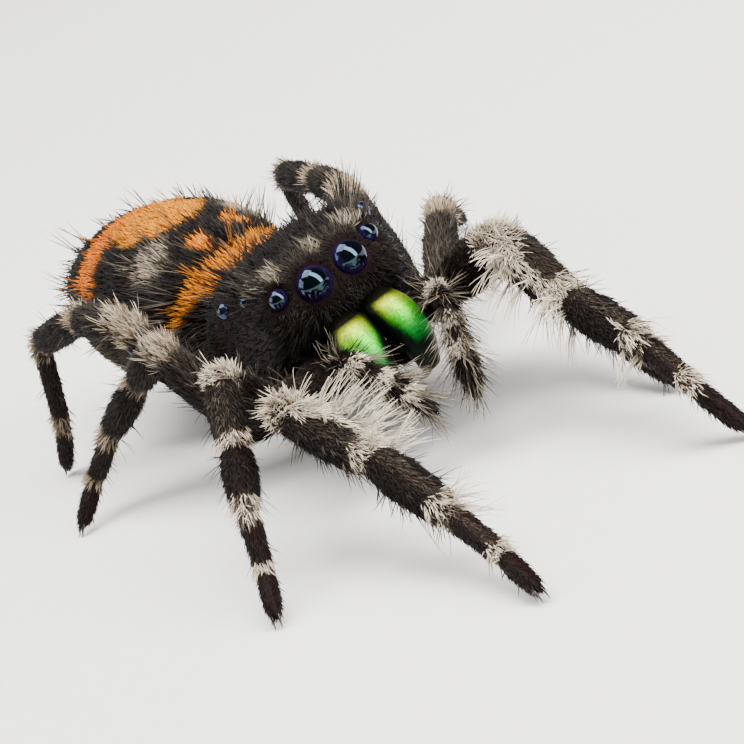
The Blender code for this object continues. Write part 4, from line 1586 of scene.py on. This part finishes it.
@dataclass
class Coat:
    """Coat of one part of the body, grown on the triangles of the skin that the part owns."""

    name: str
    shape: Shape
    slot: str
    # size of a hair's patch on the unwrap, how deep roots sink and the room over the floor
    patch_size: float = 0.003
    sink: float = 0.03
    room: float = 0.004

    def marks(self, places: Places) -> Marks:
        """Pale, orange and hue of the coat at places; the skin shows them too."""
        raise NotImplementedError

    def layers(self, places: Places) -> list[Layer]:
        """Kinds of hair of this coat."""
        raise NotImplementedError

    def bareness(self, places: Places) -> Array:
        """1 where the polished cuticle shows, 0 under a full coat."""
        return np.zeros(len(places.share))

    @staticmethod
    def plain_marks(pale: Array) -> Marks:
        """Marks of a coat without orange."""
        return {"pale": np.clip(pale, 0.0, 1.0), "orange": np.zeros_like(pale),
                "hue": np.full_like(pale, 0.5)}

    def unwrap(self, places: Places) -> Array:
        """Place of each point on the unwrap of the shape, from 0 to 1."""
        return np.stack([np.clip(places.share, 0.0, 1.0), places.turn / 360.0], 1) * 0.97 + 0.015

    def grow(self, skin_map: SkinMap, index: int, row: RowShift,
             material: Material) -> None:
        """Grow every layer and make the piece.

        Args:
            skin_map: the surveyed skin.
            index: number of this coat's shape in the map.
            row: move to the frame of the solids.
            material: finish of the hairs.
        """
        corners, normals, areas = skin_map.part(index)
        places = self.shape.places(corners.mean(1), unit(normals.mean(1)))
        chance = np.random.default_rng([SEED, index])
        grown = [hair_mesh(self._sample(layer, places, corners, normals, areas, chance),
                           layer.steps, self.patch_size) for layer in self.layers(places)]
        shells, uvs, marks = zip(*grown)
        shell = join_shells(shells)
        shell.points[:, 2] = np.maximum(shell.points[:, 2], self.room)
        piece = mesh_from_shell(self.name, shell)
        write_floats(piece, {
            name: np.concatenate([value[name] for value in marks]) for name in marks[0]})
        unwrapped = piece.data.uv_layers.new(name="OFBake")
        corner_uv = np.vstack(uvs)[shell.triangles.ravel()]
        unwrapped.data.foreach_set("uv", np.ascontiguousarray(corner_uv, np.float32).ravel())
        row.dress(piece, material, self.slot)

    def _sample(self, layer: Layer, places: Places, corners: Array, normals: Array, areas: Array,
                chance: np.random.Generator) -> Tufts:
        """Scatter the tufts of one layer over the triangles.

        Args:
            layer: the kind of hair.
            places: the triangles' middles.
            corners: their corners.
            normals: the skin's normals at the corners.
            areas: their areas.
            chance: source of random numbers.

        Returns:
            The hairs of all tufts.
        """
        weight = areas * layer.density
        count = int(round(float(weight.sum())))
        ends = np.cumsum(weight)
        spots = (np.arange(count) + chance.random(count)) / max(count, 1) * ends[-1]
        picked = np.minimum(np.searchsorted(ends, spots), len(areas) - 1)
        picked = np.repeat(picked, layer.hairs)
        total = len(picked)
        first, second = chance.random((2, count))
        flip = first + second > 1.0
        first, second = (np.where(flip, 1.0 - part, part) for part in (first, second))
        share = np.stack([1.0 - first - second, first, second], 1)
        share = np.repeat(share, layer.hairs, axis=0)
        roots = np.einsum("nk,nkj->nj", share, corners[picked])
        facing = unit(np.einsum("nk,nkj->nj", share, normals[picked]))
        lie = tangent(places.lie[picked], facing)
        across = np.cross(facing, lie)

        def read(value: Any) -> Array:
            """Value of the layer at each hair."""
            return np.broadcast_to(np.asarray(value, float), (len(areas),))[picked]

        def each_tuft(spread: float) -> Array:
            """Random offset that all hairs of a tuft share."""
            return np.repeat(chance.normal(0.0, spread, count), layer.hairs)

        tuft_sway, tuft_size = each_tuft(1.0), each_tuft(1.0)
        sway = np.radians(tuft_sway * layer.sway + chance.normal(0.0, 1.0, total) * layer.fan)
        lie = lie * np.cos(sway)[:, None] + across * np.sin(sway)[:, None]
        spread = 4.0 + layer.fan * 0.6
        lift = read(layer.lift) + tuft_size * 5.0 + chance.normal(0.0, 1.0, total) * spread
        size = 1.0 + tuft_size * 0.13 + chance.normal(0.0, 0.09, total)
        length = read(layer.length) * np.clip(size, 0.5, 1.5)
        if layer.hairs > 1:
            step = chance.normal(0.0, 0.022, (total, 2))
            roots = roots + lie * step[:, :1] + across * step[:, 1:]
        shade = np.clip(0.5 + each_tuft(0.2) + chance.normal(0.0, 0.1, total), 0.0, 1.0)
        pale = np.clip(read(layer.pale) + chance.normal(0.0, 0.06, total), 0.0, 1.0)
        marks = {"pale": pale, "orange": read(layer.orange), "hue": read(layer.hue),
                 "shade": shade}
        sink = np.minimum(self.sink, 0.08 * length)
        return Tufts(roots - facing * sink[:, None], facing, lie, length, read(layer.width),
                     np.radians(lift), read(layer.curl),
                     layer.wave * chance.normal(0.0, 1.0, total), self.unwrap(places)[picked],
                     marks)


def hair_mesh(tufts: Tufts, steps: Sequence[float],
              patch_size: float) -> tuple[Shell, Array, Marks]:
    """Turn hairs into closed three-sided spikes that bend back to the skin.

    Args:
        tufts: the hairs.
        steps: shares of the length that have a ring; the tip is added.
        patch_size: size of a hair's patch on the unwrap.

    Returns:
        The shell, its points on the unwrap and the floats for its material.
    """
    count, rows = len(tufts.roots), len(steps)
    stride, last = rows * 3 + 1, (rows - 1) * 3
    share = np.array([*steps, 1.0])
    angle = tufts.lift[:, None] * (1.0 - tufts.curl[:, None] * share[None] * 0.5)
    reach = tufts.length[:, None] * share[None]
    line = (tufts.roots[:, None] + (reach * np.cos(angle))[..., None] * tufts.lie[:, None]
            + (reach * np.sin(angle))[..., None] * tufts.normals[:, None])
    across = np.cross(tufts.normals, tufts.lie)
    wave = np.sin(share * 5.0)[None] * reach * tufts.wave[:, None]
    line += across[:, None] * wave[..., None]
    upward = unit(np.cross(unit(line[:, 1:] - line[:, :-1]), across[:, None]))
    size = 1.0 - 0.35 * share[None, :-1] - 0.3 * share[None, :-1] ** 2
    size = tufts.width[:, None] * 0.5 * size
    points = np.zeros((count, stride, 3))
    for corner, turn in enumerate(np.radians((90.0, 210.0, 330.0))):
        offset = across[:, None] * math.cos(turn) + upward * (math.sin(turn) * 0.7)
        points[:, corner:rows * 3:3] = line[:, :-1] + offset * size[..., None]
    points[:, -1] = line[:, -1]
    faces = []
    for low in range(0, last, 3):
        for corner, after in ((0, 1), (1, 2), (2, 0)):
            faces.append((low + corner, low + after, low + 3 + after))
            faces.append((low + corner, low + 3 + after, low + 3 + corner))
    faces += [(last, last + 1, rows * 3), (last + 1, last + 2, rows * 3),
              (last + 2, last, rows * 3), (2, 1, 0)]
    triangles = (np.arange(count)[:, None, None] * stride + np.array(faces)[None]).reshape(-1, 3)
    along = np.concatenate([np.repeat(share[:-1], 3), share[-1:]])
    sideways = np.array([*([0.0, 0.5, 1.0] * rows), 0.5]) - 0.5
    corner_uv = np.stack([along - 0.5, sideways], 1)[None] * patch_size
    patch = (tufts.patch[:, None] + corner_uv).reshape(-1, 2)
    marks = {name: np.repeat(value, stride) for name, value in tufts.marks.items()}
    marks["along"] = np.tile(along, count)
    return Shell(points.reshape(-1, 3), triangles), patch, marks


@dataclass
class AbdomenCoat(Coat):
    """Coat of the abdomen: black-brown fur with orange marks and grey patches.

    The marks are placed by x, forward of the abdomen's middle, and y, out from its middle line, in
    millimetres, and by the angle down from the top.
    """

    # x and half width of the large mark
    patch_rows: tuple[Pair, ...] = (
        (-0.8, -0.1), (-0.72, 0.22), (-0.45, 0.6), (-0.1, 0.86), (0.3, 1.0), (0.6, 0.98),
        (0.88, 0.8), (1.08, 0.55), (1.24, 0.25), (1.31, -0.1),
    )
    # x, y and half sizes of the two spots and of the grey patches
    spot: Row = (1.84, 0.5, 0.27, 0.26)
    grey: Row = (1.29, 1.18, 0.5, 0.58)
    # share of the length where the band is on top, how far it bends back and its half width
    band: Point = (0.062, 0.064, 0.038)
    # x and half width of the arcs behind the large mark
    arc: Pair = (-0.66, 0.36)
    # the marks lie this much forward of the solid's middle, and turned this much to the left
    shift: float = 0.1
    skew: float = 0.15
    # hue of band, spots, arcs and large mark
    hues: Row = (0.12, 0.7, 0.5, 1.0)

    def marks(self, places: Places) -> Marks:
        """Draw a band in front, two spots, a large mark and an arc on each side behind it.

        Args:
            places: the places.

        Returns:
            Pale, orange and hue.
        """
        share, aside = places.share, places.turn_from(90.0)
        forward, out, up = places.local.T
        top = (up > 0.0).astype(float)
        x = forward - self.shift
        y = np.abs(out - self.skew * forward)
        # Two waves of different length make the edges of the marks uneven
        x = x + 0.035 * np.sin(out * 9.0 + 1.0) + 0.025 * np.sin(out * 17.0)
        y = y + 0.03 * np.sin(forward * 10.0)
        start, bend, half = self.band
        half = half - 0.024 * rise(aside, 34.0, 26.0)
        band = window(share - start - bend * (aside / 60.0) ** 2, 0.0, half, 0.014)
        band *= between(aside, -1.0, 84.0, 12.0)
        ahead, apart, long, wide = self.spot
        spot_x = x - ahead + 0.06 * np.sign(out)
        spot = fall(np.hypot(spot_x / long, (y - apart) / wide), 1.0, 0.25) * top
        girth = np.interp(x, *np.array(self.patch_rows).T)
        patch = fall(y, girth, 0.09) * top
        arc_x = self.arc[0] + 0.2 * rise(y, 1.0, 1.0)
        arc = window(x - arc_x, 0.0, self.arc[1] - 0.1 * rise(y, 0.9, 1.0), 0.09)
        arc *= between(aside, 4.0, 58.0, 7.0)
        orange = np.maximum.reduce([band, spot, patch, arc])
        ahead, apart, long, wide = self.grey
        grey = fall(np.hypot((x - ahead) / long, (y - apart) / wide), 1.0, 0.4) * top
        pale = 0.19 + 0.5 * grey * (1.0 - orange) + 0.25 * rise(aside, 62.0, 40.0)
        hue = np.select([band >= orange, spot >= orange, arc >= orange], self.hues[:3],
                        self.hues[3])
        return {"pale": pale, "orange": orange, "hue": hue}

    def layers(self, places: Places) -> list[Layer]:
        """Grow dense flat fur, longer hair in clumps and pale bristles that stand over the back.

        Args:
            places: the places.

        Returns:
            Kinds of hair.
        """
        marks = self.marks(places)
        aside = places.turn_from(90.0)
        back = fall(aside, 100.0, 30.0)
        under = 1.0 - 0.6 * rise(aside, 105.0, 30.0)
        lively = marks["orange"] > 0.5
        # Hair is short at the very front, so that it does not lie over the band behind it
        short = np.clip(0.35 + (places.share - 0.02) / 0.08, 0.35, 1.0)
        front = fall(places.share, 0.3, 0.2)
        return [
            Layer(365.0 * under, np.where(lively, 0.21, 0.28) * short, 0.04, 20.0, 0.7,
                  sway=12.0, **marks),
            Layer(8.0 * back * (1.0 - 0.7 * lively), 0.5, 0.032, 40.0, 0.4, marks["pale"] + 0.08,
                  marks["orange"] * 0.8, marks["hue"], hairs=3, fan=12.0, steps=BRISTLE),
            Layer(back * (1.0 - 0.6 * lively) * (1.0 + 5.0 * front), 0.8, 0.028,
                  54.0 + 10.0 * front, 0.35, 0.56, hairs=3, fan=10.0, steps=BRISTLE),
        ]


@dataclass
class CarapaceCoat(Coat):
    """Coat of head and thorax: grey-brown on the face and the top, nearly bare on the flanks."""

    # forward, out, up and size of the paler tufts above and between the eyes
    pale_tufts: tuple[Row, ...] = (
        (1.7, 0.82, 0.84, 0.3), (1.95, 0.0, 0.84, 0.24), (1.5, 1.12, 0.9, 0.26),
    )

    def _face(self, places: Places) -> Array:
        """1 on the face, 0 behind the eyes."""
        return rise(places.local[:, 0], 1.35, 0.5)

    def _tufts(self, places: Places) -> Array:
        """1 in the middle of a paler tuft, 0 outside them."""
        mirrored = np.where([False, True, False], np.abs(places.local), places.local)
        return np.max([fall(np.linalg.norm(mirrored - row[:3], axis=1) / row[3], 1.0, 0.5)
                       for row in self.pale_tufts], axis=0)

    def bareness(self, places: Places) -> Array:
        """1 on the flanks below the eyes."""
        forward, out, up = places.local.T
        return fall(up, 0.98, 0.3) * rise(np.abs(out), 0.75, 0.3) * fall(forward, 1.72, 0.3)

    def marks(self, places: Places) -> Marks:
        """Make the face greyer and paler than the top, and the rims of the eyes dark.

        Args:
            places: the places.

        Returns:
            Pale, orange and hue.
        """
        face = self._face(places)
        brow = window(places.local[:, 2], 0.86, 0.1, 0.14) * face
        behind = fall(places.local[:, 0], 0.6, 2.0)
        pale = 0.15 + 0.14 * face + 0.28 * self._tufts(places) + 0.06 * brow - 0.12 * behind
        rim = np.clip((eye_reach(places.points)[0] - 1.15) / 0.35, 0.05, 1.0)
        return self.plain_marks(pale * (1.0 - 0.8 * self.bareness(places)) * rim)

    def layers(self, places: Places) -> list[Layer]:
        """Grow short flat hair, longer hair on the crown, brow tufts and a few bristles.

        Args:
            places: the places.

        Returns:
            Kinds of hair.
        """
        marks = self.marks(places)
        face, tufts = self._face(places), self._tufts(places)
        x, y, z = places.local.T
        covered = 1.0 - 0.6 * self.bareness(places)
        under = np.clip((z + 0.75) / 0.3, 0.06, 1.0)
        reach, _ = eye_reach(places.points)
        clear = (reach > 1.06).astype(float)
        short = np.clip(0.5 + 0.5 * (reach - 1.1) / 1.2, 0.5, 1.0)
        top = rise(z, 0.75, 0.3) * covered
        chin = window(z, -0.2, 0.12, 0.1)
        brow = window(x, 1.25, 0.35, 0.2) * window(np.abs(y), 1.15, 0.22, 0.15) * rise(z, 0.6, 0.2)
        spike = window(x, 0.75, 0.1, 0.05) * window(np.abs(y), 1.22, 0.1, 0.05) * top
        return [
            Layer((560.0 + 160.0 * face) * covered * under * clear, (0.25 - 0.06 * face) * short,
                  0.028 - 0.004 * face, 22.0 + 6.0 * face, 0.6, sway=15.0, **marks),
            Layer(260.0 * tufts * clear, 0.26, 0.024, 46.0, 0.4, 0.68, sway=18.0),
            Layer(150.0 * chin * face, 0.34, 0.024, 36.0, 0.3, 0.22, hairs=2, fan=12.0),
            Layer(16.0 * top * (reach > 2.2), 0.42, 0.03, 46.0, 0.4, marks["pale"] + 0.06,
                  hairs=3, fan=14.0, steps=BRISTLE),
            Layer(60.0 * brow, 0.46, 0.03, 64.0, 0.3, 0.34, hairs=2, fan=12.0, steps=BRISTLE),
            Layer(140.0 * spike, 0.78, 0.034, 84.0, 0.1, 0.02, hairs=2, fan=5.0, sway=5.0,
                  steps=BRISTLE),
            Layer(2.0 * covered * (0.3 + face) * (reach > 1.5), 0.45, 0.022, 62.0, 0.3, 0.05,
                  steps=BRISTLE),
        ]


@dataclass
class LegCoat(Coat):
    """Coat of one leg: dark hair, pale tufts at its joints and a white fringe on a front leg."""

    shape: LegShape
    ground: float = 0.19
    # turn of the fringe's middle and of the cream stripe, and lift of the fringe: right, left
    inner_turn: Pair = (26.0, 178.0)
    stripe_turn: Pair = (58.0, 138.0)
    fringe_lift: Pair = (84.0, 72.0)

    def unwrap(self, places: Places) -> Array:
        """Each segment has its own strip of the unwrap."""
        along = (places.segment + places.share) / len(Segment)
        return np.stack([along, places.turn / 360.0], 1) * 0.97 + 0.015

    def bareness(self, places: Places) -> Array:
        """Thinly covered on the two slim end segments."""
        return 0.5 * places.on(Segment.METATARSUS, Segment.TARSUS)

    def _stripe(self, places: Places) -> Array:
        """1 on the cream stripe along the patella of a front leg, widest at the knee."""
        half = 34.0 + 34.0 * fall(places.share, 0.5, 0.3)
        return places.on(Segment.PATELLA) * fall(
            places.turn_from(self.shape.side.pick(self.stripe_turn)), half, 14.0)

    def marks(self, places: Places) -> Marks:
        """Make each segment paler at its far end, and the two nearest the body along the top.

        Args:
            places: the places.

        Returns:
            Pale, orange and hue.
        """
        tarsus = places.on(Segment.TARSUS)
        ends = 1.0 - places.on(Segment.COXA, Segment.TARSUS)
        slim = places.on(Segment.TARSUS, Segment.METATARSUS)
        near = window(places.share, 0.93, 0.07, 0.08) * ends
        start = window(places.share, 0.04, 0.04, 0.06) * slim
        top = np.clip(places.up(), 0.0, 1.0)
        upper = top * places.on(Segment.FEMUR, Segment.PATELLA)
        pale = self.ground + 0.42 * np.maximum(near, start) + 0.2 * upper
        pale = np.where(tarsus > 0.0, pale - 0.06 + 0.4 * start, pale)
        if self.shape.number == 1:
            ridge = rise(top, 0.85, 0.1) * places.on(Segment.TIBIA, Segment.METATARSUS)
            pale = np.maximum.reduce([pale, 0.44 * ridge, 0.92 * self._stripe(places)])
        return self.plain_marks(pale)

    def layers(self, places: Places) -> list[Layer]:
        """Grow flat hair, joint tufts, bristles and a pad under the foot.

        Args:
            places: the places.

        Returns:
            Kinds of hair.
        """
        marks = self.marks(places)
        slim = places.on(Segment.METATARSUS, Segment.TARSUS)
        foot = places.on(Segment.TARSUS)
        ends = 1.0 - places.on(Segment.COXA, Segment.TARSUS)
        joint = window(places.share, 0.92, 0.05, 0.05) * ends
        joint += window(places.share, 0.09, 0.03, 0.05) * places.on(Segment.METATARSUS)
        upper = 0.12 + 0.88 * np.clip(places.up() + 0.3, 0.0, 1.0)
        cream = 0.97 if self.shape.number < 3 else 0.72
        made = [
            Layer(520.0 - 60.0 * slim, 0.21 - 0.06 * slim, 0.026 - 0.003 * slim, 20.0, 0.6,
                  sway=14.0, **marks),
            Layer((190.0 + 170.0 * slim) * joint * upper, 0.26 - 0.05 * slim, 0.02, 42.0, 0.2,
                  cream, 0.1, 0.0, hairs=3, fan=14.0, steps=BRISTLE),
            Layer(7.0 * (1.0 - foot), 0.44 - 0.14 * slim, 0.022, 46.0, 0.3, marks["pale"] + 0.12,
                  hairs=2, fan=12.0, steps=BRISTLE),
            Layer(60.0 * foot * np.clip(-places.up(), 0.0, 1.0), 0.2, 0.03, 40.0, 0.3, 0.1),
        ]
        return made + self._fringe(places) if self.shape.number == 1 else made

    def _fringe(self, places: Places) -> list[Layer]:
        """Grow what only a front leg has: white fringe, wisps below and tufts of the stripe.

        Args:
            places: the places.

        Returns:
            Kinds of hair.
        """
        side, share = self.shape.side, places.share
        patella, shin = (places.on(one) for one in (Segment.PATELLA, Segment.TIBIA))
        fringe = patella * rise(share, 0.06, 0.1)
        if side is Side.LEFT:
            clumps = (between(share, 0.0, 0.34, 0.1), between(share, 0.84, 1.0, 0.08))
            fringe *= 0.15 + 1.45 * np.maximum(*clumps)
        fringe += shin * (fall(share, 0.26, 0.12) + between(share, 0.9, 1.0, 0.05))
        fringe += places.on(Segment.METATARSUS) * fall(share, 0.2, 0.1)
        inner = fall(places.turn_from(side.pick(self.inner_turn)), 76.0, 26.0)
        under = np.clip(-places.up() - 0.2, 0.0, 1.0) * (patella + shin)
        return [
            Layer(24.0 * inner * fringe, 0.72, 0.022, side.pick(self.fringe_lift), 0.3, 0.96,
                  0.03, 0.0, hairs=5, fan=8.0, sway=12.0, wave=0.05,
                  steps=(0.0, 0.25, 0.5, 0.75, 0.9)),
            Layer(46.0 * under, 0.4, 0.028, 52.0, 0.3, 0.42, hairs=2, fan=14.0, wave=0.04,
                  steps=BRISTLE),
            Layer(3.0 * under * shin, 0.66, 0.022, 60.0, 0.3, 0.9, hairs=2, fan=16.0, wave=0.12,
                  steps=(0.0, 0.2, 0.4, 0.6, 0.8)),
            Layer(260.0 * self._stripe(places) * fall(share, 0.5, 0.2), 0.32, 0.02, 30.0, 0.3,
                  0.94, 0.08, 0.0, hairs=3, fan=12.0, steps=BRISTLE),
        ]


@dataclass
class PalpCoat(Coat):
    """Coat of one palp: dark, with grey wisps and bristles and cream tufts at its joints."""

    shape: PalpShape
    # shares along the right and the left palp where its joints are
    joints: tuple[Point, Point] = ((0.59, 0.73, 0.87), (0.48, 0.67, 0.81))

    def _joints(self, places: Places, half: float) -> Array:
        """1 on the upper side of the joints, whose half length is a share of the palp."""
        found = np.max([window(places.share, middle, half, 0.02)
                        for middle in self.shape.side.pick(self.joints)], axis=0)
        return found * np.clip(places.up() + 0.3, 0.0, 1.0)

    def marks(self, places: Places) -> Marks:
        """Paler at the joints."""
        return self.plain_marks(0.12 + 0.55 * self._joints(places, 0.02))

    def layers(self, places: Places) -> list[Layer]:
        """Grow flat hair, long wisps, shorter bristles and joint tufts.

        Args:
            places: the places.

        Returns:
            Kinds of hair.
        """
        end = rise(places.share, 0.4, 0.1)
        return [
            Layer(420.0, 0.21, 0.026, 28.0, 0.5, **self.marks(places)),
            Layer(24.0 * end + 6.0, 0.62, 0.019, 40.0, 0.1, 0.64, hairs=4, fan=14.0, wave=0.09,
                  steps=(0.0, 0.25, 0.5, 0.75)),
            Layer(24.0 * end + 10.0, 0.44, 0.024, 36.0, 0.3, 0.4, hairs=2, fan=14.0, wave=0.05,
                  steps=BRISTLE),
            Layer(640.0 * self._joints(places, 0.015), 0.15, 0.024, 44.0, 0.2, 1.0, 0.12, 0.0,
                  hairs=3, fan=16.0),
        ]


class Spider:
    """The dressed spider: skin, coat, eyes, jaws and claws."""

    # solids that have a piece of their own and stay out of the skin
    own_pieces = ("eye_", "chelicera_")

    def __init__(self) -> None:
        """List the coat of each part of the body, with the shape that it grows on."""
        palps = [PalpShape(side) for side in Side]
        legs = [LegShape(number, side) for number in SKELETON.segment_lengths for side in Side]
        self.coats: list[Coat] = [
            CarapaceCoat("coat_carapace", CarapaceShape(), "dark_cuticle"),
            AbdomenCoat("coat_abdomen", AbdomenShape(), "body_coat"),
            *(PalpCoat(f"coat_palp_{palp.side.label}", palp, "leg_coat") for palp in palps),
            *(LegCoat(f"coat_leg_{leg.number}_{leg.side.label}", leg, "leg_coat") for leg in legs),
        ]

    def build(self, row: RowShift, nodes: Iterable[str]) -> None:
        """Build every piece.

        Args:
            row: move to the frame of the solids.
            nodes: names of the nodes of the solids.
        """
        for piece in (Eyes(row), Jaws(row), Claws(row)):
            piece.build()
        skin = Skin([coat.shape for coat in self.coats])
        surface = skin.build()
        skin_map = SkinMap.survey(surface, skin.shapes)
        self._mark_skin(surface, skin_map)
        hairs = SetaFinish().material()
        for index, coat in enumerate(self.coats):
            coat.grow(skin_map, index, row, hairs)
        flesh = [node for node in nodes if not node.startswith(self.own_pieces)]
        row.dress(surface, skin.finish.material(), "dark_cuticle", flesh)

    def _mark_skin(self, surface: Piece, skin_map: SkinMap) -> None:
        """Give the skin the marks of the coat that grows on it.

        Args:
            surface: the skin.
            skin_map: the surveyed skin.
        """
        values = {name: np.zeros(len(skin_map.points))
                  for name in ("pale", "orange", "hue", "bare")}
        for index, coat in enumerate(self.coats):
            mine = skin_map.owners == index
            places = coat.shape.places(skin_map.points[mine], skin_map.normals[mine])
            for name, value in coat.marks(places).items():
                values[name][mine] = value
            values["bare"][mine] = coat.bareness(places)
        write_floats(surface, values)


@dataclass
class Lamp:
    """A rectangular soft box: place and size in millimetres, power in watts."""

    name: str
    place: Point
    size: Pair
    power: float


@dataclass
class Studio:
    """Pale floor, soft light and the camera at the photo's angle, in the spider's frame."""

    row: RowShift
    floor_size: float = 900.0
    floor_cells: int = 8
    lamps: tuple[Lamp, ...] = (
        Lamp("strip_box", (78.0, 46.0, 98.0), (58.0, 250.0), 0.95),
        Lamp("top_box", (-50.0, -20.0, 150.0), (120.0, 120.0), 0.48),
        Lamp("fill_box", (-90.0, -170.0, 90.0), (150.0, 120.0), 0.28),
    )
    lamp_target: Point = (0.0, 0.0, 2.0)
    air: str = "#C9CCD2"
    air_strength: float = 0.22
    camera_place: Point = (43.44, -11.94, 16.68)
    # right, up and back
    camera_axes: tuple[Point, ...] = ((0.3778, 0.8028, -0.4613), (-0.1117, 0.5341, 0.838),
                                      (0.9191, -0.2651, 0.2914))
    focal_pixels: float = 2623.5
    frame_pixels: float = 744.0
    # the photo's middle, from the pixel that the fitted view axis goes through
    aim_pixels: Pair = (38.0, 105.0)
    sensor_mm: float = 36.0
    # nearest and farthest that the camera sees, in metres
    clip: Pair = (0.001, 5.0)

    def build(self) -> None:
        """Set up floor, light and camera."""
        self._floor()
        self._light()
        self._camera()

    def _floor(self) -> None:
        """Lay a wide card under the feet."""
        half, across = self.floor_size * 0.5, self.floor_cells + 1
        steps = np.linspace(-half, half, across)
        points = np.array([(x, y, 0.0) for x in steps for y in steps])
        cells = [first * across + second for first in range(self.floor_cells)
                 for second in range(self.floor_cells)]
        triangles = [(cell, cell + across, cell + across + 1) for cell in cells]
        triangles += [(cell, cell + across + 1, cell + 1) for cell in cells]
        floor = mesh_from_shell("floor_card", Shell(self.row.points(points), np.array(triangles)))
        floor.data.materials.append(CardFinish().material())

    def _light(self) -> None:
        """Hang the soft boxes and fill the air with weak light."""
        target = Vector(self.row.points(self.lamp_target))
        for lamp in self.lamps:
            light = bpy.data.lights.new(lamp.name, "AREA")
            light.shape = "RECTANGLE"
            light.size, light.size_y = (size * MM for size in lamp.size)
            light.energy = lamp.power
            hung = bpy.data.objects.new(lamp.name, light)
            hung.location = Vector(self.row.points(lamp.place))
            hung.rotation_euler = (target - hung.location).to_track_quat("-Z", "Y").to_euler()
            bpy.context.scene.collection.objects.link(hung)
        world = bpy.data.worlds.new("studio_air")
        world.use_nodes = True
        inputs = world.node_tree.nodes["Background"].inputs
        inputs["Color"].default_value = linear(self.air)
        inputs["Strength"].default_value = self.air_strength
        bpy.context.scene.world = world

    def _camera(self) -> None:
        """Aim a long lens so that the photo's middle is the middle of the frame."""
        right, up, back = np.array(self.camera_axes)
        aside, down = (value / self.focal_pixels for value in self.aim_pixels)
        view = unit(right * aside - up * down - back)
        level = unit(np.cross(view, up))
        data = bpy.data.cameras.new("photo_camera")
        data.sensor_width = self.sensor_mm
        data.lens = self.focal_pixels / self.frame_pixels * self.sensor_mm
        data.clip_start, data.clip_end = self.clip
        camera = bpy.data.objects.new("photo_camera", data)
        axes = Matrix(np.stack([level, np.cross(level, view), -view], 1).tolist()).to_4x4()
        place = Vector(self.row.points(self.camera_place))
        camera.matrix_world = Matrix.Translation(place) @ axes
        bpy.context.scene.collection.objects.link(camera)
        bpy.context.scene.camera = camera


def main() -> None:
    """Load the solids, dress the spider and set up the studio."""
    logging.basicConfig(level=logging.INFO, format="%(name)s %(message)s")
    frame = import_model()
    row = RowShift()
    Spider().build(row, frame["nodes"])
    Studio(row).build()


if __name__ == "__main__":
    main()
